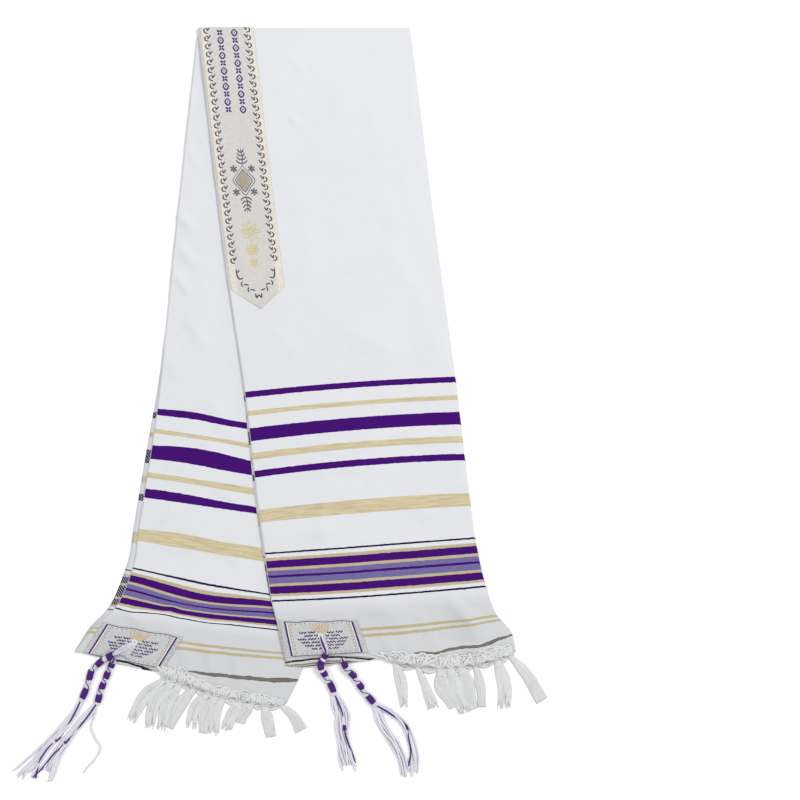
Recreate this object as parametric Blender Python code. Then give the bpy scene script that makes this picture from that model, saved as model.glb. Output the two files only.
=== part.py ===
# A prayer scarf that lies folded flat: a striped cloth folded in half along its length, right
# side out, and then folded over once at the top, so that two arms spread downwards.
# Tables and sizes are in millimetres, meshes are in metres. X runs across, Y runs up towards
# the fold at the top, Z is height above the surface that the scarf lies on.

import math
from collections import namedtuple

import bmesh
import bpy
from mathutils import Vector

METRES = 0.001

# The cloth and its layers
WALL = 1.2                # thickness of the cloth
GAP = 0.3                 # what parts two pieces that touch
PITCH = WALL + GAP        # from one layer of cloth to the next
LAYERS_UNDER_FRONT = 2    # layers of the back arm that the front arm lies on
STACK = 2 * WALL + GAP    # height of one arm by itself
STEP_START = 10.0         # how far past the back arm the front arm stays up
STEP_WIDTH = 40.0         # how gently it then comes down to the surface
TUCK = 13.0               # how far the back stretch goes in under the front arm
HEM_TUCK = 60.0           # how much further in it goes towards the hem,
HEM_TUCK_START = -235.0   # from this height down,
HEM_TUCK_RUN = 60.0       # over this distance
SLOT_ROOM = 1.5           # room between its hidden edge and the layers beside it
SLOT_REACH = 30.0         # how far up and down the slot looks for that edge
BACK_FOLD_FREE = -303.0   # where, towards the hem, the back stretch reaches its own lengthwise fold
BACK_FOLD_RUN = 25.0      # over what distance it then rounds into the fold
BACK_FLAT_START = -110.0  # where the back arm's swells start to die out, before the front arm
BACK_FLAT_RUN = 60.0      # covers it
EDGE_ROUND = 2.5          # outer radius of a lengthwise fold
EDGE_LEVEL = 0.6          # how far the fold's last column stands out where the fold hasn't begun
EDGE_INSET = 2.7          # how far inside a lengthwise fold the hidden layers end
CORNER_RUN = 50.0         # over what length the lengthwise fold takes its shape below the top fold
FOLD_RADIUS = (STACK + LAYERS_UNDER_FRONT * PITCH) / 2
FOLD_LIP = 10.0           # how far the top fold goes on underneath
FOLD_ROOM = 15.0          # room for that lip above the lowest hidden layer
HEM_SHORT = 1.5           # how far short of the hem above it a hidden layer ends
LIP_FULL = 1.6            # how soon a hem lip comes to its full reach
BEDDED = 0.6              # how deep the upper hidden layers reach into the lowest one
TURN_STEPS = [0, 30, 60, 90]     # angles round a lengthwise fold
BACK_TURN_STEPS = [45, 90]
WRAP_STEPS = [180, 135, 90, 45]  # angles round the top fold, from underneath

# Trim
TRIM_GAP = 0.35           # between a panel and what is sewn on it
BAND_THICK = 1.0
PATCH_THICK = 1.0
BAND_WRAP_STEPS = [100, 50]      # angles round the top fold where the band goes over it
STRIP_WIDTH = 4.5         # knotted heading of the fringe
STRIP_GAP = 0.6           # between the hem and the heading
STRIP_STEPS = 14
STRIP_LOW, STRIP_HIGH = 0.3, 2.5
LOCK_LOW, LOCK_HIGH = 0.4, 2.0
LOCK_GAP = 0.5
LOCK_STEPS = 5
LOCK_ROOT = 0.55          # share of a bundle's width at its root
LOCK_OPEN = 2.5           # steps from the root to the bundle's full width
LOCK_TAPER = 0.35         # share of a lock's width that is lost at its tip
STRAND_WIDTH = 2.0
STRAND_THICK = 1.6
STRAND_STEPS = 9
LONG_STRAND_STEPS = 12
LONG_BRUSH = 6            # a brush with more spots than this has long strands
LEVEL_GAP = 0.6           # between a tassel's lower and upper strands
LEVEL_SPREAD = 0.72       # share of the brush's width that its upper strands take
NUDGE = 0.05              # sets locks at slightly unlike heights, so that no two faces coincide
NUDGE_ALONG = 3.0         # and their starts at slightly unlike places, this many times as much
STEM_POINTS = 2           # tube rings from one bead to the next
CLOSE_LINES = 0.004       # grid lines nearer than this share to a piece's edge are left out

# Rows of the cloth, from the top fold down to the hem. Each gives its two ends, how far its
# middle sags towards the hem (bow) and how far its left half rises while its right half sinks (sway).
Row = namedtuple("Row", "down left_x left_y right_x right_y bow sway")
FRONT_ROWS = [
    Row(0, -107, 491, 169, 491, 0.0, 0.0),        # fold across the top
    Row(338, -66, 150, 211, 161, -1.0, 0.0),      # shoulder of the neckband
    Row(468, -46, 17, 228, 37, -2.6, 0.0),        # first purple stripe
    Row(621, -28, -136, 246, -114, -3.2, 0.0),    # wide gold stripe
    Row(679, -20, -193, 254, -173, 0.0, 0.0),     # upper dark line
    Row(743, -11, -255, 268, -236, 2.0, 0.0),     # lower dark line
    Row(783, -1, -295, 282, -273, 4.0, 0.0),      # thin gold lines
    Row(812, 5, -322, 302, -298, 13.0, 1.5),      # grey stripe
    Row(830, 8, -333, 307, -321, 7.0, 9.4),       # hem
]
BACK_ROWS = [
    Row(0, -107, 491, 169, 491, 0.0, 0.0),
    Row(322, -140, 186, 131, 156, 0.0, 0.0),
    Row(520, -160, -5, 112, -47, 0.0, 0.0),
    Row(678, -184, -161, 85, -202, 0.0, 0.0),
    Row(735, -192, -212, 74, -263, 0.0, 0.0),
    Row(784, -215, -264, 55, -300, 1.0, 0.0),
    Row(818, -242, -289, 35, -325, 4.5, 0.0),
    Row(852, -263, -315, 23, -359, 9.0, 0.0),
    Row(873, -268, -321, 8, -389, 2.0, 6.5),
]
FOLD_Y = FRONT_ROWS[0].left_y
FRONT_HEM = FRONT_ROWS[-1].down
BACK_HEM = BACK_ROWS[-1].down

# The grid that everything on an arm shares, so that the layers lie parallel
FRONT_COLUMNS = [column * 0.06 for column in range(17)]
FRONT_LINES = [
    3, 14, 60, 120, 190, 260, 338, 400, 468, 530, 590, 640, 679, 712, 743, 765, 785, 800, 815, FRONT_HEM
]
BACK_COLUMNS = [column / 12 for column in range(13)]
BACK_LINES = [
    4, 16, 70, 150, 240, 322, 400, 470, 520, 575, 630, 678, 710, 735, 760, 784, 802, 820, 838, 855, BACK_HEM
]

# Where the hidden layers show past the layer above them, along the open edge (peek, by row)
# and along the hem (lip, a bump between two places across the arm).
Peek = namedtuple("Peek", "down out")
FRONT_PEEK = [Peek(0, 0.0), Peek(400, 0.5), Peek(470, 2.5), Peek(743, 3.0), Peek(800, 0.5), Peek(830, 0.0)]
BACK_PEEK = [Peek(0, 0.0), Peek(480, 1.5), Peek(678, 4.5), Peek(784, 7.5), Peek(840, 2.0), Peek(873, 0.0)]
HemLip = namedtuple("HemLip", "start end reach")
FRONT_LIP = HemLip(-0.03, 0.40, 13.0)
BACK_LIP = HemLip(0.10, 0.41, 6.0)

# Soft swells that run down the arms near the hems
Swell = namedtuple("Swell", "across half_width down half_length height")
FRONT_SWELLS = [
    Swell(0.56, 0.10, 815, 70, 3.0),
    Swell(0.86, 0.11, 800, 80, 4.0),
    Swell(0.70, 0.06, 690, 60, 1.2),
]
BACK_SWELLS = [
    Swell(0.58, 0.10, 860, 65, 2.6),
    Swell(0.86, 0.10, 850, 60, 2.0),
]

# The neckband and the corner patches, on the panel that they are sewn to
BAND_LEFT, BAND_RIGHT = 0.008, 0.262
BAND_LAST_LINE, BAND_SHOULDER, BAND_POINT = 320.0, 338.0, 365.0
Patch = namedtuple("Patch", "left right top_left top_right bottom")
FRONT_PATCH = Patch(0.006, 0.372, 772.0, 775.0, FRONT_HEM - HEM_SHORT)
BACK_PATCH = Patch(0.035, 0.415, 812.0, 806.0, BACK_HEM - HEM_SHORT)

# Fringe bundles: where each leaves the heading, one point on its way and its tip
Bundle = namedtuple("Bundle", "root mid_x mid_y tip_x tip_y width locks")
FRONT_BUNDLES = [
    Bundle(0.475, 156, -358, 162, -394, 12.0, 4),
    Bundle(0.570, 188, -363, 200, -396, 12.0, 4),
    Bundle(0.655, 211, -371, 221, -396, 12.0, 4),
    Bundle(0.710, 231, -374, 238, -402, 12.0, 4),
    Bundle(0.765, 248, -371, 253, -397, 11.0, 4),
    Bundle(0.825, 264, -360, 268, -393, 10.0, 3),
    Bundle(0.905, 290, -351, 291, -394, 14.0, 4),
    Bundle(0.970, 321, -347, 342, -385, 12.0, 4),
]
BACK_BUNDLES = [
    Bundle(0.445, -176, -379, -194, -415, 11.0, 4),
    Bundle(0.475, -161, -383, -176, -420, 11.0, 3),
    Bundle(0.510, -147, -387, -160, -424, 11.0, 4),
    Bundle(0.555, -133, -389, -143, -420, 12.0, 4),
    Bundle(0.625, -113, -392, -118, -422, 11.0, 3),
    Bundle(0.665, -99, -398, -102, -427, 11.0, 3),
    Bundle(0.710, -84, -402, -85, -431, 12.0, 4),
    Bundle(0.775, -65, -401, -71, -428, 11.0, 3),
    Bundle(0.825, -50, -401, -55, -421, 11.0, 3),
    Bundle(0.890, -18, -404, -13, -433, 12.0, 4),
    Bundle(0.970, 13, -404, 27, -425, 11.0, 4),
]
STRIP_START, STRIP_END = 0.43, 0.985     # where the heading runs, as shares of the hem

# Corner tassels. The stem is a tube through its beads, thick where it is wound and thin at the
# knots. Each brush of strands follows its spots, as wide as each spot says.
Bead = namedtuple("Bead", "x y z radius")
Spot = namedtuple("Spot", "x y half_width")
Brush = namedtuple("Brush", "low_lanes high_lanes spots")
Tassel = namedtuple("Tassel", "beads brushes")
TASSELS = {
    "tassel_front_upper": Tassel(
        beads=[
            Bead(53, -301, 9.2, 1.6), Bead(57, -312, 9.2, 1.7), Bead(60, -321, 9.3, 2.2),
            Bead(57, -329, 9.8, 3.4), Bead(53, -337, 8.6, 3.9), Bead(54, -343, 7.0, 3.2),
            Bead(58, -350, 4.5, 4.0), Bead(62, -357, 4.4, 3.3), Bead(66, -364, 4.4, 4.0),
            Bead(69, -371, 4.4, 4.0), Bead(71, -377, 4.2, 3.4),
        ],
        brushes=[Brush(5, 4, [
            Spot(70, -374, 2.0), Spot(75, -389, 7.5), Spot(79, -407, 8.5),
            Spot(81, -430, 7.0), Spot(86, -455, 7.5), Spot(93, -478, 10.0),
        ])],
    ),
    "tassel_front_lower": Tassel(
        beads=[
            Bead(81, -330, 3.1, 1.6), Bead(84, -337, 4.4, 2.4), Bead(86, -342, 4.6, 3.6),
            Bead(90, -347, 4.6, 3.3), Bead(95, -351, 4.5, 4.0), Bead(99, -357, 4.4, 3.3),
            Bead(103, -363, 4.4, 4.0), Bead(107, -369, 4.4, 3.3), Bead(112, -376, 4.4, 4.0),
            Bead(119, -384, 4.4, 4.0), Bead(125, -391, 4.2, 3.4),
        ],
        brushes=[
            Brush(3, 2, [
                Spot(123, -388, 1.5), Spot(128, -404, 4.5), Spot(136, -420, 5.0),
                Spot(148, -438, 5.0), Spot(157, -458, 5.0), Spot(163, -486, 5.0),
            ]),
            Brush(2, 2, [
                Spot(122, -388, 1.5), Spot(141, -398, 3.5), Spot(157, -411, 4.0),
                Spot(169, -433, 4.0), Spot(175, -458, 4.0), Spot(176, -484, 3.5),
            ]),
        ],
    ),
    "tassel_back_upper": Tassel(
        beads=[
            Bead(-191, -309, 6.3, 1.6), Bead(-205, -317, 6.3, 1.7), Bead(-215, -323, 6.8, 2.2),
            Bead(-223, -327, 8.0, 3.4), Bead(-232, -333, 6.8, 3.9), Bead(-239, -339, 4.8, 3.4),
            Bead(-245, -345, 4.4, 4.0), Bead(-247, -352, 4.4, 3.3), Bead(-249, -359, 4.4, 4.0),
            Bead(-251, -366, 4.4, 3.3), Bead(-255, -376, 4.4, 4.0), Bead(-259, -385, 4.2, 3.4),
        ],
        brushes=[Brush(4, 4, [
            Spot(-257, -382, 1.8), Spot(-272, -407, 4.5), Spot(-294, -432, 5.2),
            Spot(-314, -455, 7.0), Spot(-331, -474, 9.0), Spot(-340, -487, 11.0),
        ])],
    ),
    "tassel_back_lower": Tassel(
        beads=[
            Bead(-216, -332, 3.1, 1.6), Bead(-219, -338, 4.0, 2.2), Bead(-221, -343, 4.4, 3.6),
            Bead(-224, -348, 4.4, 3.3), Bead(-226, -354, 4.4, 4.0), Bead(-229, -361, 4.4, 3.3),
            Bead(-232, -368, 4.4, 4.0), Bead(-234, -374, 4.4, 3.3), Bead(-236, -382, 4.4, 4.0),
            Bead(-238, -389, 4.2, 3.4),
        ],
        brushes=[
            Brush(4, 3, [
                Spot(-237, -386, 1.8), Spot(-250, -403, 4.0), Spot(-264, -419, 5.0),
                Spot(-283, -443, 5.5), Spot(-298, -466, 7.5), Spot(-308, -487, 9.0),
            ]),
            Brush(1, 0, [
                Spot(-237, -386, 0.0), Spot(-241, -402, 0.0), Spot(-246, -419, 0.0),
                Spot(-241, -433, 0.0), Spot(-234, -446, 0.0), Spot(-242, -462, 0.0),
                Spot(-254, -475, 0.0), Spot(-257, -487, 0.0),
            ]),
        ],
    ),
}

# Colours, each with a roughness
WHITE_COTTON = ((0.82, 0.83, 0.86), 0.85)
UNDER_COTTON = ((0.70, 0.71, 0.76), 0.90)
CREAM_SATIN = ((0.80, 0.78, 0.70), 0.55)
PATCH_SATIN = ((0.66, 0.66, 0.70), 0.60)
FRINGE_YARN = ((0.84, 0.85, 0.84), 0.80)
TASSEL_CORD = ((0.28, 0.10, 0.45), 0.75)


def smooth(keys, values, at):
    """Reads a smooth curve through the values, straight on past either end."""
    last = len(keys) - 1

    def slope(k):
        if k == 0 or k == last:
            a, b = (0, 1) if k == 0 else (last - 1, last)
            return (values[b] - values[a]) / (keys[b] - keys[a])
        before = (values[k] - values[k - 1]) / (keys[k] - keys[k - 1])
        after = (values[k + 1] - values[k]) / (keys[k + 1] - keys[k])
        span = keys[k + 1] - keys[k - 1]
        return (before * (keys[k + 1] - keys[k]) + after * (keys[k] - keys[k - 1])) / span

    if at <= keys[0]:
        return values[0] + slope(0) * (at - keys[0])
    if at >= keys[last]:
        return values[last] + slope(last) * (at - keys[last])
    k = next(i for i in range(last) if at <= keys[i + 1])
    span = keys[k + 1] - keys[k]
    t = (at - keys[k]) / span
    rise = (3 - 2 * t) * t * t
    lead = t * (1 - t) ** 2 * slope(k) - t * t * (1 - t) * slope(k + 1)
    return values[k] + (values[k + 1] - values[k]) * rise + lead * span


def ease(t):
    """Goes softly from 0 to 1."""
    t = min(max(t, 0.0), 1.0)
    return t * t * (3 - 2 * t)


def row_at(rows, down):
    keys = [row.down for row in rows]
    return Row(down, *(smooth(keys, [row[c] for row in rows], down) for c in range(1, 7)))


def place(rows, across, down):
    """The place on an arm: across goes from 0 at the open edge to 1 at the lengthwise fold."""
    row = row_at(rows, down)
    x = row.left_x + (row.right_x - row.left_x) * across
    y = row.left_y + (row.right_y - row.left_y) * across
    y -= row.bow * 4 * across * (1 - across) - row.sway * math.sin(2 * math.pi * across)
    return x, y


def edge_x(rows, side, y):
    """Where an arm's left or right edge stands at this height up the page."""
    ends = [(row.left_y, row.left_x) if side == "left" else (row.right_y, row.right_x) for row in rows]
    ends.sort()
    return smooth([end[0] for end in ends], [end[1] for end in ends], y)


def back_right_x(y):
    """The right edge of the back stretch: tucked in under the front arm, or its own fold lower down."""
    tuck = TUCK + HEM_TUCK * ease((HEM_TUCK_START - y) / HEM_TUCK_RUN)
    return min(edge_x(FRONT_ROWS, "left", y) + tuck, edge_x(BACK_ROWS, "right", y))


def back_fold_shows(y):
    """0 where the back stretch's right edge is only tucked in, 1 where it is the lengthwise fold."""
    return ease((BACK_FOLD_FREE - y) / BACK_FOLD_RUN)


def lift(x, y):
    """How high the back arm beneath holds the front arm."""
    outside = x - edge_x(BACK_ROWS, "right", y)
    return LAYERS_UNDER_FRONT * PITCH * (1 - ease((outside - STEP_START) / STEP_WIDTH))


def swell(swells, across, down):
    total = 0.0
    for s in swells:
        side = min(abs(across - s.across) / s.half_width, 1.0)
        along = min(abs(down - s.down) / s.half_length, 1.0)
        total += s.height * math.cos(side * math.pi / 2) ** 2 * math.cos(along * math.pi / 2) ** 2
    return total


def front_top(across, down):
    """A point on the upper face of the front arm."""
    x, y = place(FRONT_ROWS, across, down)
    return Vector((x, y, STACK + lift(x, y) + swell(FRONT_SWELLS, across, down)))


def back_top(across, down):
    """A point on the upper face of the back arm."""
    x, y = place(BACK_ROWS, across, down)
    full = 1 - ease((x - BACK_FLAT_START) / BACK_FLAT_RUN)
    return Vector((x, y, STACK + swell(BACK_SWELLS, across, down) * full))


def lowered(point, depth):
    return Vector((point.x, point.y, point.z - depth))


def round_top_fold(x, angle, radius):
    """A point round the fold across the top, at this many degrees from straight up."""
    turn = math.radians(angle)
    y = FOLD_Y - FOLD_RADIUS + radius * math.sin(turn)
    return Vector((x, y, FOLD_RADIUS + radius * math.cos(turn)))


def fresh_scene(name):
    for old in list(bpy.data.objects):
        bpy.data.objects.remove(old)
    collection = bpy.data.collections.new(name)
    bpy.context.scene.collection.children.link(collection)
    return collection


def finish(name, look):
    colour, roughness = look
    material = bpy.data.materials.new(name)
    material.use_nodes = True
    shader = material.node_tree.nodes["Principled BSDF"]
    shader.inputs["Base Color"].default_value = (*colour, 1.0)
    shader.inputs["Roughness"].default_value = roughness
    shader.inputs["Metallic"].default_value = 0.0
    material.diffuse_color = (*colour, 1.0)
    return material


def slab(across_count, down_count, upper, lower):
    """A closed body between an upper and a lower face, each given by a point for every grid place."""
    body = bmesh.new()
    bmesh.ops.create_grid(body, x_segments=across_count, y_segments=down_count, size=1)
    places = {
        v: (round((v.co.x + 1) / 2 * across_count), round((v.co.y + 1) / 2 * down_count))
        for v in body.verts
    }
    grid = list(body.verts)
    raised = bmesh.ops.extrude_face_region(body, geom=body.faces[:])["geom"]
    copies = {tuple(v.co): v for v in raised if isinstance(v, bmesh.types.BMVert)}
    for v in grid:
        i, j = places[v]
        copies[tuple(v.co)].co = upper(i, j) * METRES
        v.co = lower(i, j) * METRES
    bmesh.ops.recalc_face_normals(body, faces=body.faces)
    if body.calc_volume(signed=True) < 0:
        bmesh.ops.reverse_faces(body, faces=body.faces)
    return body


def to_object(name, body, collection, material):
    mesh = bpy.data.meshes.new(name)
    body.to_mesh(mesh)
    body.free()
    mesh.materials.append(material)
    mesh.shade_smooth()
    mesh.set_sharp_from_angle(angle=math.radians(40))
    piece = bpy.data.objects.new(name, mesh)
    collection.objects.link(piece)
    return piece


def unite(piece, others):
    """Joins others to piece with exact Booleans and removes them."""
    for other in others:
        join = piece.modifiers.new("join", "BOOLEAN")
        join.operation = "UNION"
        join.solver = "EXACT"
        join.object = other
        graph = bpy.context.evaluated_depsgraph_get()
        joined = bpy.data.meshes.new_from_object(piece.evaluated_get(graph))
        piece.modifiers.clear()
        before = piece.data
        joined.name = piece.name
        piece.data = joined
        bpy.data.meshes.remove(before)
        bpy.data.objects.remove(other)
    return piece


def front_stretch(collection):
    """The upper layer of the front arm, with the fold over the top and the fold down its right side."""
    first_line = FRONT_LINES[0]

    def flat_point(i, down):
        """The upper face where column i runs, and the share of the way round the right-hand fold."""
        if i < len(FRONT_COLUMNS):
            return front_top(FRONT_COLUMNS[i], down), None
        width = place(FRONT_ROWS, 1, down)[0] - place(FRONT_ROWS, 0, down)[0]
        return front_top(1 - EDGE_ROUND / width, down), i - len(FRONT_COLUMNS)

    def side_fold(point, k, share, inner):
        """Carries a point round the right-hand fold, k turns on, or out flat where share is 0."""
        depth = WALL if inner else 0.0
        reach = EDGE_ROUND - depth
        if k < len(TURN_STEPS):
            turn = math.radians(TURN_STEPS[k])
            folded = Vector((reach * math.sin(turn), 0, -depth - reach * (1 - math.cos(turn))))
            level = Vector((EDGE_ROUND * math.sin(turn), 0, -depth))
        else:
            folded = Vector((reach, 0, -point.z))
            level = Vector((EDGE_ROUND + EDGE_LEVEL, 0, -depth))
        return point + level.lerp(folded, share)

    def face(i, j, inner):
        depth = WALL if inner else 0.0
        if j <= len(WRAP_STEPS):
            base, k = flat_point(i, first_line)
            if k is not None:
                base = side_fold(base, k, 0.0, False)
            if j == 0:
                return Vector((base.x, FOLD_Y - FOLD_RADIUS - FOLD_LIP, depth))
            return round_top_fold(base.x, WRAP_STEPS[j - 1], FOLD_RADIUS - depth)
        down = FRONT_LINES[j - len(WRAP_STEPS) - 1]
        point, k = flat_point(i, down)
        if k is None:
            return lowered(point, depth)
        return side_fold(point, k, ease((down - first_line) / CORNER_RUN), inner)

    columns = len(FRONT_COLUMNS) + len(TURN_STEPS)
    rows = len(WRAP_STEPS) + len(FRONT_LINES)
    body = slab(columns, rows, lambda i, j: face(i, j, False), lambda i, j: face(i, j, True))
    return to_object("front_stretch", body, collection, finish("front_stretch", WHITE_COTTON))


def back_stretch(collection):
    """The upper layer of the back arm where it shows, with its hidden edge tucked under the front arm."""
    shares = BACK_COLUMNS
    turns = BACK_TURN_STEPS
    downs = BACK_LINES

    def end_share(down):
        """How far across the back arm the stretch goes in this row."""
        low, high = 0.0, 1.0
        for _ in range(30):
            middle = (low + high) / 2
            x, y = place(BACK_ROWS, middle, down)
            if x < back_right_x(y) - EDGE_ROUND:
                low = middle
            else:
                high = middle
        return low

    ends = [end_share(down) for down in downs]

    def face(i, j, inner):
        depth = WALL if inner else 0.0
        point = back_top(shares[min(i, len(shares) - 1)] * ends[j], downs[j])
        if i < len(shares):
            return lowered(point, depth)
        k = i - len(shares)
        shown = back_fold_shows(point.y)
        reach = EDGE_ROUND - depth
        if k < len(turns):
            turn = math.radians(turns[k])
            folded = Vector((reach * math.sin(turn), 0, -depth - reach * (1 - math.cos(turn))))
            level = Vector((EDGE_ROUND * (k + 1) / (len(turns) + 1), 0, -depth))
        else:
            folded = Vector((reach, 0, -point.z))
            level = Vector((EDGE_ROUND, 0, -depth))
        return point + level.lerp(folded, shown)

    columns = len(shares) + len(turns)
    body = slab(columns, len(downs) - 1, lambda i, j: face(i, j, False), lambda i, j: face(i, j, True))
    return to_object("back_stretch", body, collection, finish("back_stretch", WHITE_COTTON))


def peek_out(peeks, down):
    return smooth([p.down for p in peeks], [p.out for p in peeks], down)


def lip_reach(lip, across):
    """How far a hidden layer shows past the hem above it."""
    if lip.start < across < lip.end:
        t = (across - lip.start) / (lip.end - lip.start)
        return (lip.reach + HEM_SHORT) * min(1.0, LIP_FULL * math.sin(math.pi * t))
    return 0.0


def lowest_layer():
    """The back arm's under layer, flat on the surface, showing past the back stretch at its edges."""
    downs = BACK_LINES[1:]

    def point(i, j):
        down = downs[j]
        row = row_at(BACK_ROWS, down)
        width = row.right_x - row.left_x
        left = -peek_out(BACK_PEEK, down) / width
        right = 1 - EDGE_INSET / width
        across = left + (right - left) * BACK_COLUMNS[i]
        if j < len(downs) - 1:
            return Vector((*place(BACK_ROWS, across, down), 0))
        x, y = place(BACK_ROWS, across, down - HEM_SHORT)
        return Vector((x, y - lip_reach(BACK_LIP, across), 0))

    return slab(
        len(BACK_COLUMNS) - 1, len(downs) - 1, lambda i, j: lowered(point(i, j), -WALL), point
    )


def upper_hidden_layers():
    """What lies under the front stretch, down to the lowest layer, with a slot for the back stretch."""
    downs = FRONT_LINES
    last = len(FRONT_COLUMNS)

    def spot(i, j):
        down = downs[j]
        row = row_at(FRONT_ROWS, down)
        width = row.right_x - row.left_x
        across = 1 - EDGE_INSET / width if i == last else FRONT_COLUMNS[i]
        if i == 0:
            across = -peek_out(FRONT_PEEK, down) / width
        return across, down

    def upper(i, j):
        across, down = spot(i, j)
        if j < len(downs) - 1:
            return lowered(front_top(across, down), PITCH)
        top = lowered(front_top(across, down - HEM_SHORT), PITCH)
        return Vector((top.x, top.y - lip_reach(FRONT_LIP, across), top.z))

    def lower(i, j):
        top = upper(i, j)
        before = upper(max(i - 1, 0), j)
        near = [back_right_x(before.y + SLOT_REACH * step) for step in (-1, -0.5, 0, 0.5, 1)]
        if before.x < max(near) + SLOT_ROOM:
            return lowered(top, WALL)
        if downs[j] < FOLD_ROOM:
            return Vector((top.x, top.y, PITCH))
        over_lowest = top.x < edge_x(BACK_ROWS, "right", top.y) - EDGE_INSET
        return Vector((top.x, top.y, BEDDED if over_lowest else 0.0))

    return slab(last, len(downs) - 1, upper, lower)


def hidden_layers(collection):
    """The layers out of sight, as one body that is layered at its edges."""
    material = finish("hidden_layers", UNDER_COTTON)
    base = to_object("hidden_layers", lowest_layer(), collection, material)
    top = to_object("hidden_top", upper_hidden_layers(), collection, material)
    return unite(base, [top])


def between(lines, low, high):
    """The lines from low to high, with both ends added."""
    margin = CLOSE_LINES * high
    return [low] + [line for line in lines if low + margin < line < high - margin] + [high]


def neckband(collection):
    """The satin band on the front arm's open edge, over the top fold and down to its point."""
    columns = between(FRONT_COLUMNS, BAND_LEFT, BAND_RIGHT)
    lines = [line for line in FRONT_LINES if line < BAND_LAST_LINE] + [BAND_LAST_LINE]
    middle = (BAND_LEFT + BAND_RIGHT) / 2

    def face(i, j, inner):
        across = columns[i]
        height = TRIM_GAP if inner else TRIM_GAP + BAND_THICK
        if j < len(BAND_WRAP_STEPS):
            base = front_top(across, FRONT_LINES[0])
            return round_top_fold(base.x, BAND_WRAP_STEPS[j], FOLD_RADIUS + height)
        j -= len(BAND_WRAP_STEPS)
        if j < len(lines):
            return lowered(front_top(across, lines[j]), -height)
        aside = abs(across - middle) / (middle - BAND_LEFT)
        end = BAND_SHOULDER + (BAND_POINT - BAND_SHOULDER) * (1 - aside)
        return lowered(front_top(across, end), -height)

    rows = len(BAND_WRAP_STEPS) + len(lines)
    body = slab(len(columns) - 1, rows, lambda i, j: face(i, j, False), lambda i, j: face(i, j, True))
    return to_object("neckband", body, collection, finish("neckband", CREAM_SATIN))


def corner_patch(name, patch, panel, columns, lines, collection):
    """A woven patch that lies on its panel's corner."""
    columns = between(columns, patch.left, patch.right)
    lines = between(lines, max(patch.top_left, patch.top_right), patch.bottom)

    def face(i, j, height):
        across, down = columns[i], lines[j]
        if j == 0:
            share = (across - patch.left) / (patch.right - patch.left)
            down = patch.top_left + (patch.top_right - patch.top_left) * share
        return lowered(panel(across, down), -height)

    upper = TRIM_GAP + PATCH_THICK
    body = slab(
        len(columns) - 1, len(lines) - 1, lambda i, j: face(i, j, upper), lambda i, j: face(i, j, TRIM_GAP)
    )
    return to_object(name, body, collection, finish(name, PATCH_SATIN))


def route(points, count):
    """Evenly spread points on a smooth curve through the given ones, in all their columns."""
    keys = [0.0]
    for a, b in zip(points, points[1:]):
        keys.append(keys[-1] + math.hypot(b[0] - a[0], b[1] - a[1]))
    columns = list(zip(*points))
    return [
        [smooth(keys, column, keys[-1] * step / count) for column in columns]
        for step in range(count + 1)
    ]


def ribbon(points, offset, width, low, high):
    """A four-sided lock beside a route: offset and width are lists, one value for each point."""
    def side(i, j, z):
        ahead, behind = points[min(j + 1, len(points) - 1)], points[max(j - 1, 0)]
        way = Vector((ahead[0] - behind[0], ahead[1] - behind[1], 0)).normalized()
        normal = Vector((-way.y, way.x, 0))
        middle = Vector((points[j][0], points[j][1], z))
        return middle + normal * (offset[j] + width[j] * (i - 0.5))

    return slab(1, len(points) - 1, lambda i, j: side(i, j, high), lambda i, j: side(i, j, low))


def fringe(name, rows, hem, bundles, collection):
    """A narrow knotted heading along the hem, with its bundles of locks fused to it."""
    material = finish(name, FRINGE_YARN)

    def heading(i, j, z):
        across = STRIP_START + (STRIP_END - STRIP_START) * j / STRIP_STEPS
        x, y = place(rows, across, hem)
        ahead, behind = place(rows, across + 0.01, hem), place(rows, across - 0.01, hem)
        way = Vector((ahead[0] - behind[0], ahead[1] - behind[1], 0)).normalized()
        out = Vector((way.y, -way.x, 0))
        return Vector((x, y, z)) + out * (STRIP_GAP + STRIP_WIDTH * i)

    base = to_object(
        name,
        slab(1, STRIP_STEPS, lambda i, j: heading(i, j, STRIP_HIGH), lambda i, j: heading(i, j, STRIP_LOW)),
        collection,
        material,
    )
    spread = [LOCK_ROOT + (1 - LOCK_ROOT) * ease(j / LOCK_OPEN) for j in range(LOCK_STEPS + 1)]
    tapered = [s * (1 - LOCK_TAPER * ease(j - LOCK_STEPS + 1)) for j, s in enumerate(spread)]
    locks = []
    for bundle in bundles:
        step = (bundle.root - STRIP_START) / (STRIP_END - STRIP_START) * STRIP_STEPS
        start = (heading(0, step, 0) + heading(1, step, 0)) / 2
        middle, tip = (bundle.mid_x, bundle.mid_y), (bundle.tip_x, bundle.tip_y)
        centre = route([(start.x, start.y), middle, tip], LOCK_STEPS)
        pitch = bundle.width / bundle.locks
        for k in range(bundle.locks):
            lane = (k - (bundle.locks - 1) / 2) * pitch
            offset = [lane * s for s in spread]
            width = [(pitch - LOCK_GAP) * s for s in tapered]
            nudge = NUDGE * (len(locks) % 7)
            lock = ribbon(centre, offset, width, LOCK_LOW + nudge, LOCK_HIGH + nudge)
            locks.append(to_object(f"{name}_lock", lock, collection, material))
    return unite(base, locks)


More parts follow.
